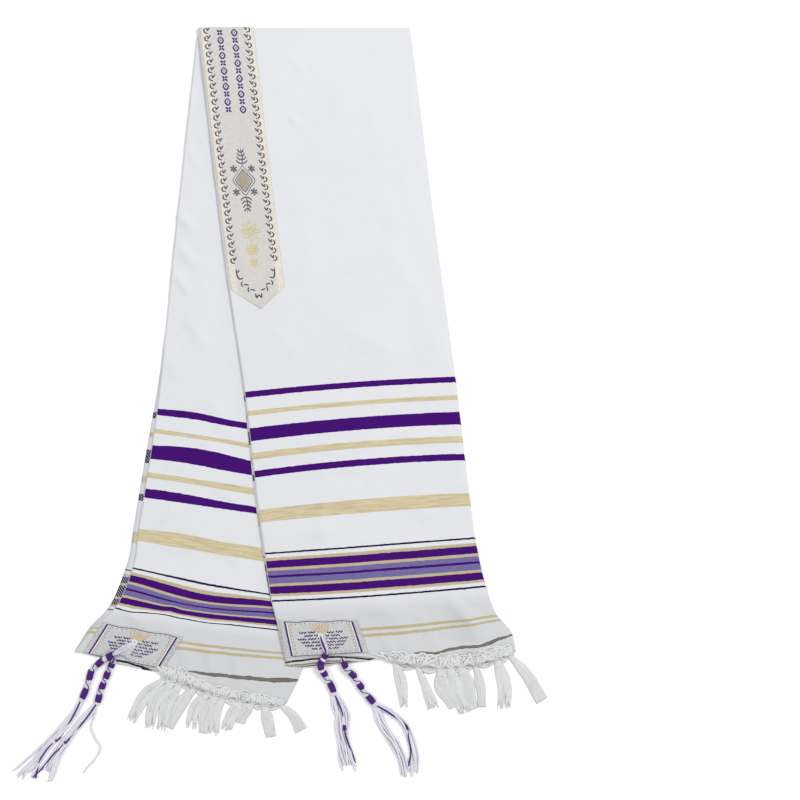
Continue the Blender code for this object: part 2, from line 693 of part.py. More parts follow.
def stem(name, beads, collection, material):
    """The tassel's cord and wound stem, as one tube that is thick where it is wound."""
    points = route(beads, STEM_POINTS * (len(beads) - 1))
    curve = bpy.data.curves.new(name, "CURVE")
    curve.dimensions = "3D"
    curve.bevel_depth = METRES
    curve.bevel_resolution = 1
    curve.use_fill_caps = True
    spline = curve.splines.new("POLY")
    spline.points.add(len(points) - 1)
    for target, point in zip(spline.points, points):
        target.co = (*(Vector(point[:3]) * METRES), 1)
        target.radius = point[3]
    tube = bpy.data.objects.new(name, curve)
    collection.objects.link(tube)
    graph = bpy.context.evaluated_depsgraph_get()
    mesh = bpy.data.meshes.new_from_object(tube.evaluated_get(graph))
    bpy.data.objects.remove(tube)
    body = bmesh.new()
    body.from_mesh(mesh)
    bpy.data.meshes.remove(mesh)
    bmesh.ops.remove_doubles(body, verts=body.verts, dist=0.00001)
    bmesh.ops.recalc_face_normals(body, faces=body.faces)
    return to_object(name, body, collection, material)


def tassel(name, parts, collection):
    """One corner tassel: its stem with the loose strands fused to the stem's end."""
    material = finish(name, TASSEL_CORD)
    piece = stem(name, parts.beads, collection, material)
    strands = []
    for brush in parts.brushes:
        steps = LONG_STRAND_STEPS if len(brush.spots) > LONG_BRUSH else STRAND_STEPS
        for level, lanes in enumerate((brush.low_lanes, brush.high_lanes)):
            for k in range(lanes):
                nudge = NUDGE * len(strands)
                centre = route(brush.spots, steps)
                centre[0][1] += NUDGE_ALONG * nudge
                lane = 0.0 if lanes == 1 else 2 * k / (lanes - 1) - 1
                lane *= 1.0 if level == 0 else LEVEL_SPREAD
                offset = [lane * point[2] for point in centre]
                bottom = LOCK_LOW + level * (STRAND_THICK + LEVEL_GAP) + nudge
                width = [STRAND_WIDTH] * len(centre)
                lock = ribbon(centre, offset, width, bottom, bottom + STRAND_THICK)
                strands.append(to_object(f"{name}_strand", lock, collection, material))
    return unite(piece, strands)


def build():
    collection = fresh_scene("prayer_scarf")
    hidden_layers(collection)
    back_stretch(collection)
    front_stretch(collection)
    neckband(collection)
    corner_patch("corner_patch_front", FRONT_PATCH, front_top, FRONT_COLUMNS, FRONT_LINES, collection)
    corner_patch("corner_patch_back", BACK_PATCH, back_top, BACK_COLUMNS, BACK_LINES, collection)
    fringe("fringe_front", FRONT_ROWS, FRONT_HEM, FRONT_BUNDLES, collection)
    fringe("fringe_back", BACK_ROWS, BACK_HEM, BACK_BUNDLES, collection)
    for name, parts in TASSELS.items():
        tassel(name, parts, collection)


build()
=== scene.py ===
# A prayer scarf that lies folded flat: the finish of every surface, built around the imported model.
# Tables are in millimetres, meshes are in metres. X runs across the page, Y up it, Z off the surface.
import math
import random
from functools import partial, partialmethod, reduce

import bpy
import numpy as np
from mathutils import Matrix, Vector
from mathutils.bvhtree import BVHTree


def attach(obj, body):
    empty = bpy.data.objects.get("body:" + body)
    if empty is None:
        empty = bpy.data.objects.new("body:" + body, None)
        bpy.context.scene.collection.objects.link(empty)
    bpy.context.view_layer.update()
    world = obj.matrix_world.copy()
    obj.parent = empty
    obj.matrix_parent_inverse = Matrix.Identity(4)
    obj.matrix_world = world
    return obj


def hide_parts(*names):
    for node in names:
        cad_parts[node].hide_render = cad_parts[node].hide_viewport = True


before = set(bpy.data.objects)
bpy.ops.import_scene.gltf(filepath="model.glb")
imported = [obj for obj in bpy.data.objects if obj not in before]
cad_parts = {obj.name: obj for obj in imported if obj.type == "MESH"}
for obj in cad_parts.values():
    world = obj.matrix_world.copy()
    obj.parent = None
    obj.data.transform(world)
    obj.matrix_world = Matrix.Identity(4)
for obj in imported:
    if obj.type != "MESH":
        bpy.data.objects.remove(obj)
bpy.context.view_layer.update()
mm = 0.001
scene = bpy.context.scene

# The scarf's layers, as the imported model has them
layers = {
    "thick": 0.9,          # the cloth itself
    "stack": 2.7,          # one arm, two layers of cloth
    "lift": 3.0,           # how high the back arm holds the front arm
    "stepStart": 10.0,
    "stepWidth": 40.0,
    "foldY": 491.0,        # where the top fold turns
    "foldLip": 10.0,
    "foldTurn": 7.5,       # how much of the pattern goes round the top fold
    "foldBulge": 1.5,      # how far a lengthwise fold rounds out
    "halfWidth": 275.0,    # half of the cut cloth
    "foldHalf": 2.0,       # half of what a lengthwise fold takes up of it
    "underShift": 4.6,     # how much lower the under layer's stripes lie
    "hemShort": 1.5,
    "creaseStrength": 2.6,
}
foldAxis = (layers["stack"] + layers["lift"]) / 2
# Rows of each arm: distance down from the top fold, left end, right end, bow and sway.
# Swells are mounds: middle across, half width, middle down, half length and height. Pulls draw a stripe up or
# down the cloth in the same way, with their middle and length in the stripes' own measure
frontArm = {
    "rows": np.array([
        (0, -107, 491, 169, 491, 0.0, 0.0), (338, -66, 150, 211, 161, -1.0, 0.0),
        (468, -46, 17, 228, 37, -2.6, 0.0), (621, -28, -136, 246, -114, -3.2, 0.0),
        (679, -20, -193, 254, -173, 0.0, 0.0), (743, -11, -255, 268, -236, 2.0, 0.0),
        (783, -1, -295, 282, -273, 4.0, 0.0), (812, 5, -322, 302, -298, 13.0, 1.5),
        (830, 8, -333, 307, -321, 7.0, 9.4),
    ]),
    "hem": 830.0,
    "pattern": [(0, -468), (830, 362)],          # down to the stripes' own measure
    "peek": [(0, 0.0), (400, 0.4), (470, 1.6), (700, 1.8), (770, 0.0), (830, 0.0)],
    "lip": (-0.03, 0.40, 10.5),    # where the under layer comes out below the hem, and how far
    "hemLead": 0.0,                # how far below the hem the under layer's lines begin
    "edgeRise": (1.5, 0.15),       # its height, and how far across it dies away
    "crown": 2.6,
    "swells": [(0.56, 0.10, 815, 70, 3.0), (0.86, 0.11, 800, 80, 4.0), (0.70, 0.06, 690, 60, 1.2)],
    "pulls": [(0.66, 0.07, 345, 14, -2.4), (0.86, 0.09, 345, 14, -2.2)],
}
backArm = {
    "rows": np.array([
        (0, -107, 491, 169, 491, 0.0, 0.0), (322, -140, 186, 131, 156, 0.0, 0.0),
        (520, -160, -5, 112, -47, 0.0, 0.0), (678, -184, -161, 85, -202, 0.0, 0.0),
        (735, -192, -212, 74, -263, 0.0, 0.0), (784, -215, -264, 55, -300, 1.0, 0.0),
        (818, -242, -289, 35, -325, 4.5, 0.0), (852, -263, -315, 23, -359, 9.0, 0.0),
        (873, -268, -321, 8, -389, 2.0, 6.5),
    ]),
    "hem": 873.0,
    "pattern": [(0, -504), (520, 0), (678, 153), (735, 211), (784, 275), (818, 316), (852, 343), (873, 362)],
    "peek": [(0, 0.0), (430, 0.8), (480, 2.6), (560, 5.6), (678, 7.0), (784, 8.0), (840, 2.4), (873, 0.0)],
    "lip": (0.10, 0.41, 6.0),
    "hemLead": 2.2,
    "edgeRise": (1.8, 15.0),       # how it rises towards the front arm, and over how many millimetres
    "crown": 1.4,
    "swells": [(0.58, 0.10, 860, 65, 2.6), (0.86, 0.10, 850, 60, 2.0)],
    "pulls": [
        (0.17, 0.21, 0, 12, 3.4), (0.22, 0.32, 45, 24, 6.0), (0.10, 0.30, 62, 14, 1.6),
        (0.10, 0.42, 94, 20, 4.2), (0.20, 0.24, 155, 15, 3.5), (0.37, 0.42, 243, 44, -11.0),
        (0.255, 0.05, 263, 12, 3.2), (0.08, 0.08, 275, 10, -2.6), (0.23, 0.10, 277, 11, 3.0),
        (0.45, 0.12, 275, 10, -2.4),
    ],
}


def smoothCurve(table, at):
    # reads a smooth curve through a table of (key, value), straight on past either end
    keys, values = np.array(table, float).T
    at = np.asarray(at, float)
    gaps = np.diff(keys)
    rates = np.diff(values) / gaps
    inner = (rates[:-1] * gaps[1:] + rates[1:] * gaps[:-1]) / (gaps[:-1] + gaps[1:])
    slopes = np.concatenate(([rates[0]], inner, [rates[-1]]))
    k = np.clip(np.searchsorted(keys, at) - 1, 0, len(gaps) - 1)
    t = (at - keys[k]) / gaps[k]
    inside = np.clip(t, 0.0, 1.0)
    rise = (3 - 2 * inside) * inside ** 2
    lead = inside * (1 - inside) ** 2 * slopes[k] - inside ** 2 * (1 - inside) * slopes[k + 1]
    past = np.where(t < 0, slopes[k], slopes[k + 1]) * (t - inside)
    return values[k] + (values[k + 1] - values[k]) * rise + (lead + past) * gaps[k]


def curveThrough(keys, points, at):
    return np.column_stack([smoothCurve(list(zip(keys, column)), at) for column in points.T])


def ease(t):
    t = np.clip(t, 0.0, 1.0)
    return t * t * (3 - 2 * t)


def runLength(line):
    # how far along a line each of its points lies
    return np.concatenate(([0.0], np.cumsum(np.linalg.norm(np.diff(line, axis=0), axis=1))))


def softRoute(points, count):
    # evenly spread points on a smooth curve through the given ones, in all their columns
    points = np.array(points, float)
    keys = runLength(points[:, :2])
    return curveThrough(keys, points, np.linspace(0, keys[-1], count))


def place(arm, across, down):
    # the place on the page: across goes from 0 at the open edge to 1 at the lengthwise fold
    rows = arm["rows"]
    leftX, leftY, rightX, rightY, bow, sway = (smoothCurve(rows[:, [0, c]], down) for c in range(1, 7))
    x = leftX + (rightX - leftX) * across
    y = leftY + (rightY - leftY) * across
    return x, y - bow * 4 * across * (1 - across) + sway * np.sin(2 * math.pi * across)


def edgeX(arm, side, y):
    # where an arm's left or right edge stands at this height up the page
    ends = arm["rows"][:, [2, 1] if side == "left" else [4, 3]]
    return smoothCurve(sorted(ends.tolist()), y)


def lift(x, y):
    outside = x - edgeX(backArm, "right", y)
    return layers["lift"] * (1 - ease((outside - layers["stepStart"]) / layers["stepWidth"]))


# Creases, each from one place on the page to another: bend, width and height, troughs below zero
frontCreases = [
    (9, 456, 34, 427, 2, 5, 0.7), (8, 379, 28, 363, -1, 4, 0.6), (-9, -109, 62, -95, 3, 11, -0.7),
    (58, -96, 118, -91, -2, 9, -0.5), (51, -130, 52, -182, 2, 8, 0.8), (96, -250, 168, -284, 5, 17, 1.2),
    (70, 470, 86, 300, 6, 16, 0.6), (120, 440, 148, 220, -8, 20, 0.7), (20, 300, 44, 110, 5, 18, 0.6),
    (100, 230, 196, 120, 9, 15, 0.5), (60, 120, 176, 60, -7, 13, 0.5), (150, 190, 214, 40, 5, 17, 0.6),
    (-20, 110, 30, 44, 4, 10, 0.5), (30, 10, 150, -12, 5, 9, 0.4), (140, -20, 222, -52, -4, 11, 0.5),
    (-20, -60, 60, -76, 3, 7, 0.4), (120, -128, 224, -150, 5, 12, 0.5), (0, -168, 90, -158, -3, 8, 0.4),
    (150, -180, 232, -212, 3, 9, 0.4), (10, -232, 88, -222, 3, 9, 0.5), (214, -236, 268, -292, -7, 9, 1.1),
    (176, -262, 196, -318, 3, 8, 1.0), (232, -262, 258, -306, 4, 7, 0.9), (128, -290, 150, -338, 3, 7, 0.8),
    (196, -300, 286, -312, -3, 6, -0.5), (108, 480, 130, 452, 2, 5, 0.5), (40, 486, 52, 440, -2, 6, 0.4),
    (-88, 470, -60, 400, 4, 9, 0.4), (-62, 250, -40, 160, -3, 9, 0.5), (84, -196, 110, -244, 3, 9, 0.5),
    (236, -200, 250, -262, -2, 6, 0.6), (160, 300, 190, 200, 3, 10, 0.4),
]
backCreases = [
    (-113, 356, -84, 326, 2, 5, 1.2), (-118, 330, -96, 300, -2, 5, 0.8), (-138, 252, -112, 222, 3, 6, 1.1),
    (-134, 214, -104, 178, -3, 7, 1.0), (-142, 176, -116, 138, 2, 6, 0.9), (-126, 122, -96, 60, 4, 9, 0.8),
    (-152, 96, -130, 30, -4, 9, 0.7), (-98, 20, -70, -40, 3, 9, 0.7), (-136, -127, -157, -157, 2, 5, 1.0),
    (-120, -30, -60, -70, -4, 8, 0.6), (-170, -60, -120, -88, 3, 8, 0.5), (-92, -110, -40, -134, 3, 8, 0.6),
    (-176, -176, -110, -186, -3, 7, 0.5), (-96, -180, -40, -214, 3, 8, 0.7),
    (-188, -228, -130, -226, 3, 8, 0.5), (-120, -236, -30, -262, -3, 10, 0.8),
    (-212, -262, -176, -290, 4, 7, 1.2), (-150, -286, -118, -344, 4, 8, 1.3),
    (-100, -300, -84, -368, 3, 8, 1.2), (-58, -312, -46, -376, -3, 9, 1.3),
    (-20, -330, -12, -384, 3, 7, 0.9), (-128, 430, -108, 380, 3, 7, 0.6),
    (-206, -286, -232, -326, 2, 5, 1.4), (-178, -300, -196, -340, -2, 5, 1.1),
]
# Broad waves of the whole cloth: length of the wave, its direction in degrees, start and height
broadWaves = [
    (210, 12, 0.4, 0.30), (148, 74, 1.9, 0.26), (96, 138, 3.1, 0.18), (63, 38, 0.8, 0.12),
    (47, 103, 4.4, 0.09), (31, 161, 2.2, 0.06),
]


def creaseField(creases, x, y, waveStart=0.0):
    # the height of all the creases and broad waves at a place on the page
    total = np.zeros(np.broadcast(x, y).shape)
    for startX, startY, endX, endY, bend, width, height in creases:
        runX, runY = endX - startX, endY - startY
        length = math.hypot(runX, runY)
        t = ((x - startX) * runX + (y - startY) * runY) / length ** 2
        along = np.clip(t, 0.0, 1.0)
        aside = ((y - startY) * runX - (x - startX) * runY) / length - bend * 4 * along * (1 - along)
        total += height * np.sin(math.pi * along) * np.exp(-(aside / width) ** 2)
    total *= layers["creaseStrength"]
    for length, degrees, start, height in broadWaves:
        turn = math.radians(degrees)
        run = (x + waveStart) * math.cos(turn) + y * math.sin(turn)
        total += height * np.sin(run * 2 * math.pi / length + start)
    return total


def swellField(swells, across, down):
    # soft mounds
    total = np.zeros(np.broadcast(across, down).shape)
    for middle, halfWidth, middleDown, halfLength, height in swells:
        side = np.clip(np.abs(across - middle) / halfWidth, 0, 1)
        along = np.clip(np.abs(down - middleDown) / halfLength, 0, 1)
        total += height * np.cos(side * math.pi / 2) ** 2 * np.cos(along * math.pi / 2) ** 2
    return total


def frontRelief(across, down, x, y):
    crown = frontArm["crown"] * ease(across / 0.3) * ease((1 - across) / 0.55)
    crown *= 1 - 0.5 * ease((down - 740) / 80)
    small = creaseField(frontCreases, x, y) + 0.5
    height, reach = frontArm["edgeRise"]
    edge = height * np.exp(-(np.maximum(across, 0) / reach) ** 2) * (1 - ease((down - 640) / 100))
    inner = crown + edge + small * ease((1 - across) / 0.03)
    return ease(down / 70) * inner + swellField(frontArm["swells"], across, down)


def backRelief(across, down, x, y):
    # rises between the open edge and the front arm, and lies flat where the front arm covers it
    gap = edgeX(frontArm, "left", y) - x
    free = np.maximum(ease((gap - 4) / 34), ease((-335 - y) / 12) * ease((1 - across) / 0.04))
    crown = backArm["crown"] * ease(across / 0.2) * ease((1 - across) / 0.3)
    small = creaseField(backCreases, x, y, 500) + 0.5
    height, reach = backArm["edgeRise"]
    rise = height * np.exp(-(gap / np.where(gap > 0, reach, 2.4 * reach)) ** 2) * ease(across / 0.1)
    rise = rise * (1 - ease((down - 640) / 100))
    return ease(down / 70) * (free * (crown + small + swellField(backArm["swells"], across, down)) + rise)


def layerPoint(arm, across, down, upper=True):
    # a place in the middle of the cloth's thickness, in an arm's upper or lower layer
    x, y = place(arm, across, down)
    relief, underShare, base = (frontRelief, 0.85, lift(x, y)) if arm is frontArm else (backRelief, 0.0, 0.0)
    level = layers["stack"] - layers["thick"] / 2 if upper else layers["thick"] / 2
    height = relief(across, down, x, y) * (1.0 if upper else underShare)
    return np.stack([x, y, level + base + height], axis=-1)


def addObject(name, data):
    added = bpy.data.objects.new(name, data)
    scene.collection.objects.link(added)
    return added


def addPiece(name, points, faces, maps, materials, slots=None):
    # a mesh in the scene, with its own flat measure kept as a map
    mesh = bpy.data.meshes.new(name)
    mesh.from_pydata((points * mm).tolist(), [], faces)
    mesh.uv_layers.new(name="clothMap").data.foreach_set("uv", maps.ravel())
    for material in materials:
        mesh.materials.append(material)
    if slots:
        mesh.polygons.foreach_set("material_index", slots)
    mesh.shade_smooth()
    return addObject(name, mesh)


def gridFaces(points):
    index = np.arange(points.shape[0] * points.shape[1]).reshape(points.shape[:2])
    return np.stack([index[:-1, :-1], index[1:, :-1], index[1:, 1:], index[:-1, 1:]], axis=-1).reshape(-1, 4)


def gridPiece(name, points, maps, material, thick=0.0):
    # a sheet from a grid of points
    faces = gridFaces(points)
    flat = maps.reshape(-1, 2)[faces.ravel()] * mm
    piece = addPiece(name, points.reshape(-1, 3), faces.tolist(), flat, [material])
    if thick:
        solid = piece.modifiers.new("thickness", "SOLIDIFY")
        solid.thickness = thick * mm
        solid.offset = 0.0
    return piece


# Things that cords and yarns rest on
restingOn = []


def restOn(points, thick):
    points = points + np.array([0, 0, thick / 2])
    restingOn.append(BVHTree.FromPolygons(points.reshape(-1, 3).tolist(), gridFaces(points).tolist()))


def heightAt(x, y):
    # how high the top surface stands at a place on the page
    hits = [tree.ray_cast((x, y, 60.0), (0, 0, -1))[0] for tree in restingOn]
    return max([0.0] + [hit.z for hit in hits if hit is not None])


def heightsAt(spots):
    return np.array([heightAt(x, y) for x, y in spots.reshape(-1, 2)]).reshape(spots.shape[:-1])


def settle(points, clearance=0.0, reach=2):
    # lays a route on what is under it, with soft bends where it comes over an edge
    soft = ground = heightsAt(points[:, :2])
    for gather in (np.max, np.mean):
        padded = np.pad(soft, reach, mode="edge")
        soft = np.array([gather(padded[i:i + 2 * reach + 1]) for i in range(len(ground))])
    return np.column_stack([points[:, :2], np.maximum(soft, ground) + clearance])


def sideways(line):
    # square to a line on the page, all along it
    way = np.gradient(line[:, :2], axis=0)
    side = np.column_stack([-way[:, 1], way[:, 0]])
    return side / np.linalg.norm(side, axis=1, keepdims=True)


def sideAndUp(route, up=(0.0, 0.0, 1.0)):
    # square to a route in space, all along it
    way = np.gradient(route, axis=0)
    way /= np.maximum(np.linalg.norm(way, axis=1, keepdims=True), 1e-9)
    up = np.asarray(up) - np.sum(up * way, axis=1, keepdims=True) * way
    up = up / np.maximum(np.linalg.norm(up, axis=1, keepdims=True), 1e-9)
    return np.cross(way, up), up


class Threads:
    # gathers tubes and threads that become one mesh

    def __init__(self):
        self.points, self.faces, self.maps, self.slots, self.count = [], [], [], [], 0

    def add(self, route, halfWidth, halfHeight=None, sides=6, slot=0, up=(0.0, 0.0, 1.0)):
        # a tube along the route, round or flattened, with its ends closed
        steps = len(route)
        halfWidth, halfHeight = (
            np.broadcast_to(np.asarray(size, float), steps)[:, None, None]
            for size in (halfWidth, halfWidth if halfHeight is None else halfHeight)
        )
        side, up = sideAndUp(route, up)
        turn = (np.arange(sides) * 2 * math.pi / sides)[:, None]
        ring = side[:, None] * np.cos(turn) * halfWidth + up[:, None] * np.sin(turn) * halfHeight
        length = runLength(route)
        first = self.count
        self.points.append((route[:, None, :] + ring).reshape(-1, 3))
        self.count += steps * sides
        for j in range(steps - 1):
            low = first + j * sides
            for k in range(sides):
                n = (k + 1) % sides
                self.faces.append((low + k, low + n, low + sides + n, low + sides + k))
                self.maps += [((k + a) / sides, length[j + b]) for a, b in ((0, 0), (1, 0), (1, 1), (0, 1))]
        ends = range(first, first + sides)[::-1], range(self.count - sides, self.count)
        for cap, at in zip(ends, length[[0, -1]]):
            self.faces.append(tuple(cap))
            self.maps += [(0.0, at)] * sides
        self.slots += [slot] * ((steps - 1) * sides + 2)

    def piece(self, name, materials):
        points = np.concatenate(self.points)
        points[:, 2] = np.maximum(points[:, 2], 0.05)     # nothing sinks into the surface
        maps = np.array(self.maps, float) * np.array([1.0, mm])
        return addPiece(name, points, self.faces, maps, materials, self.slots)


class Nodes:
    # short ways to lay out the nodes of one tree

    def __init__(self, tree):
        self.tree = tree

    def put(self, socket, value):
        # a socket takes a link from another socket, or a plain value
        if isinstance(value, bpy.types.NodeSocket):
            self.tree.links.new(value, socket)
        else:
            socket.default_value = value

    def fill(self, node, inputs):
        for name, value in inputs.items():
            self.put(node.inputs[name], value)

    def add(self, kind, inputs=None, **settings):
        node = self.tree.nodes.new(kind)
        for name, value in settings.items():
            setattr(node, name, value)
        self.fill(node, inputs or {})
        return node

    def sums(self, operation, *values):
        return self.add("ShaderNodeMath", dict(enumerate(values)), operation=operation).outputs[0]

    plus = partialmethod(sums, "ADD")
    minus = partialmethod(sums, "SUBTRACT")
    times = partialmethod(sums, "MULTIPLY")
    line = partialmethod(sums, "MULTIPLY_ADD")
    over = partialmethod(sums, "DIVIDE")
    lower = partialmethod(sums, "MINIMUM")
    higher = partialmethod(sums, "MAXIMUM")
    above = partialmethod(sums, "GREATER_THAN")
    below = partialmethod(sums, "LESS_THAN")
    near = partialmethod(sums, "COMPARE")
    sine = partialmethod(sums, "SINE")
    size = partialmethod(sums, "ABSOLUTE")

    def mix(self, factor, first, second, kind="MIX"):
        first, second = ((*c, 1.0) if isinstance(c, tuple) else c for c in (first, second))
        inputs = {0: factor, 6: first, 7: second}
        return self.add("ShaderNodeMix", inputs, data_type="RGBA", blend_type=kind).outputs[2]

    def noise(self, vector, scale, detail=2.0, roughness=0.5):
        inputs = {"Vector": vector, "Scale": scale, "Detail": detail, "Roughness": roughness}
        return self.add("ShaderNodeTexNoise", inputs).outputs[0]

    def stretch(self, vector, scale):
        return self.add("ShaderNodeMapping", {"Vector": vector, "Scale": scale}).outputs[0]

    def split(self, vector):
        return self.add("ShaderNodeSeparateXYZ", {0: vector}).outputs

    def measure(self):
        # the flat measure of a piece, in metres
        return self.add("ShaderNodeUVMap", uv_map="clothMap").outputs[0]

    def use(self, group, **inputs):
        return self.add("ShaderNodeGroup", inputs, node_tree=group).outputs

    def bump(self, shader, height, strength, distance):
        inputs = {"Height": height, "Strength": strength, "Distance": distance * mm}
        self.fill(shader, {"Normal": self.add("ShaderNodeBump", inputs).outputs[0]})


def newGroup(name, inputs, outputs):
    # a group to build on; an input without a default is a vector
    group = bpy.data.node_groups.new(name, "ShaderNodeTree")
    for title, default in inputs.items():
        kind = "NodeSocketVector" if default is None else "NodeSocketFloat"
        socket = group.interface.new_socket(title, in_out="INPUT", socket_type=kind)
        if default is not None:
            socket.default_value = default
    for title in outputs:
        group.interface.new_socket(title, in_out="OUTPUT", socket_type="NodeSocketFloat")
    n = Nodes(group)
    given, out = n.add("NodeGroupInput", location=(-900, 0)), n.add("NodeGroupOutput", location=(900, 0))
    return n, given.outputs, out


def plainWeave():
    # threads over and under each other; Place is the flat measure in metres
    n, given, out = newGroup("plainWeave", {"Place": None, "Threads": 1500.0}, ("Height", "Tone"))
    turns = n.times(given["Threads"], math.pi)
    waves = [n.sine(n.times(part, turns)) for part in n.split(given["Place"])[:2]]
    warp, weft = (n.size(wave) for wave in waves)
    over = n.above(n.times(*waves), 0.0)
    height = n.plus(n.times(warp, over), n.times(weft, n.minus(1.0, over)))
    slub = n.noise(given["Place"], 420.0, 3.0)
    n.fill(out, {"Height": height, "Tone": n.line(slub, 0.10, n.times(height, 0.05))})
    return n.tree


def satinFloat():
    # long floats on a slant, with bright specks
    n, given, out = newGroup("satinFloat", {"Place": None}, ("Height", "Speck"))
    x, y = n.split(given["Place"])[:2]
    rib = n.sine(n.times(n.line(y, 0.4, x), 2 * math.pi * 1400))
    cells = n.add("ShaderNodeTexVoronoi", {"Vector": given["Place"], "Scale": 900.0})
    shade = n.add("ShaderNodeSeparateColor", {0: cells.outputs["Color"]})
    n.fill(out, {"Height": rib, "Speck": shade.outputs[0]})
    return n.tree


def yarnTwist():
    # fibres on a slant round a cord; Map is round and along
    n, given, out = newGroup("yarnTwist", {"Map": None, "Turns": 260.0, "Fibres": 5.0}, ("Height", "Tone"))
    x, y = n.split(given["Map"])[:2]
    slant = n.line(x, given["Fibres"], n.times(y, given["Turns"]))
    fuzz = n.noise(n.stretch(given["Map"], (9.0, 60.0, 1.0)), 4.0, 3.0)
    n.fill(out, {"Height": n.line(n.sine(n.times(slant, 2 * math.pi)), 0.3, fuzz), "Tone": fuzz})
    return n.tree


def crossStripes(stripes):
    # masks of the woven stripes, by their measure down the cloth in millimetres
    kinds = sorted({kind for start, end, kind in stripes})
    n, given, out = newGroup("crossStripes", {"Along": 0.0}, kinds)
    for kind in kinds:
        masks = [n.near(given["Along"], (a + b) / 2, (b - a) / 2) for a, b, own in stripes if own == kind]
        n.fill(out, {kind: reduce(n.higher, masks)})
    return n.tree


def tint(colour, share, more=0.0):
    return tuple(min(c * share + more, 1.0) for c in colour)


def newMaterial(name, colour, roughness, sheen=0.0):
    # a material, its nodes to build on and its shader
    material = bpy.data.materials.new(name)
    material.use_nodes = True
    n = Nodes(material.node_tree)
    shader = n.tree.nodes["Principled BSDF"]
    n.fill(shader, {"Base Color": (*colour, 1.0), "Roughness": roughness})
    n.fill(shader, {"Sheen Weight": sheen, "Specular IOR Level": 0.25})
    return material, n, shader


print("scarf: materials")
body = {
    "white": (0.700, 0.708, 0.725),
    "whiteShade": (0.665, 0.673, 0.692),
    "hemPaintedShade": 0.835,          # painted shade: how much darker and greyer the cloth is made beyond the last stripe of the border
    "hemPaintedShadeFrom": 272.0,      # where that painted shade begins down the cloth
    "hemPaintedShadeOver": 26.0,       # and how far it takes to reach it
    "roughness": 0.82,
    "edge": 0.8,               # the plain edge before a stripe begins
    "selvage": 9.5,            # how much of the under layer's edge is dotted
    "dot": 1.9,                # spacing of the selvage's dots
    # the thin frayed stripe by the hem: where it starts, its measure down the cloth and its half width
    "taupeLine": {"front": (150.0, 345.2, 2.1), "back": (136.0, 342.8, 2.3)},
    "colours": {               # one colour, or two that mix as flecks
        "purple": (0.041, 0.001, 0.122),
        "gold": ((0.560, 0.480, 0.300), (0.720, 0.650, 0.475)),
        "dullGold": (0.400, 0.340, 0.215),
        "lavender": ((0.098, 0.070, 0.246), (0.256, 0.232, 0.415)),
        "dark": (0.016, 0.006, 0.045),
        "taupe": (0.190, 0.180, 0.165),
        "ink": (0.010, 0.009, 0.014),
    },
    "goldStreak": (0.400, 0.320, 0.175),
    "underPurple": (0.016, 0.010, 0.060),
    "frayed": ((0.125, 0.112, 0.095), (0.260, 0.240, 0.210)),
    "frayedEdge": (0.080, 0.070, 0.064),
    "stripes": [               # start and end down the cloth, and the yarn
        (0.0, 7.7, "purple"), (25.0, 31.0, "gold"), (47.0, 63.8, "purple"),
        (79.2, 87.8, "gold"), (102.4, 111.0, "purple"), (153.3, 170.0, "gold"),
        (210.0, 212.3, "dark"), (217.2, 221.2, "dullGold"), (221.2, 230.8, "purple"),
        (230.8, 234.5, "dullGold"), (234.5, 240.9, "lavender"), (240.9, 244.0, "purple"),
        (244.0, 252.0, "lavender"), (252.0, 255.7, "dullGold"), (255.7, 265.5, "purple"),
        (265.5, 269.0, "dullGold"), (273.6, 276.0, "dark"), (314.6, 317.9, "dullGold"),
        (321.0, 324.1, "dullGold"), (363.2, 365.5, "ink"), (367.6, 368.4, "gold"),
        (368.6, 370.8, "taupe"), (371.6, 372.8, "ink"), (373.4, 374.2, "gold"),
        (374.6, 376.2, "ink"),
    ],
}
weaveGroup = plainWeave()
satinGroup = satinFloat()
twistGroup = yarnTwist()
stripeGroup = crossStripes(body["stripes"])


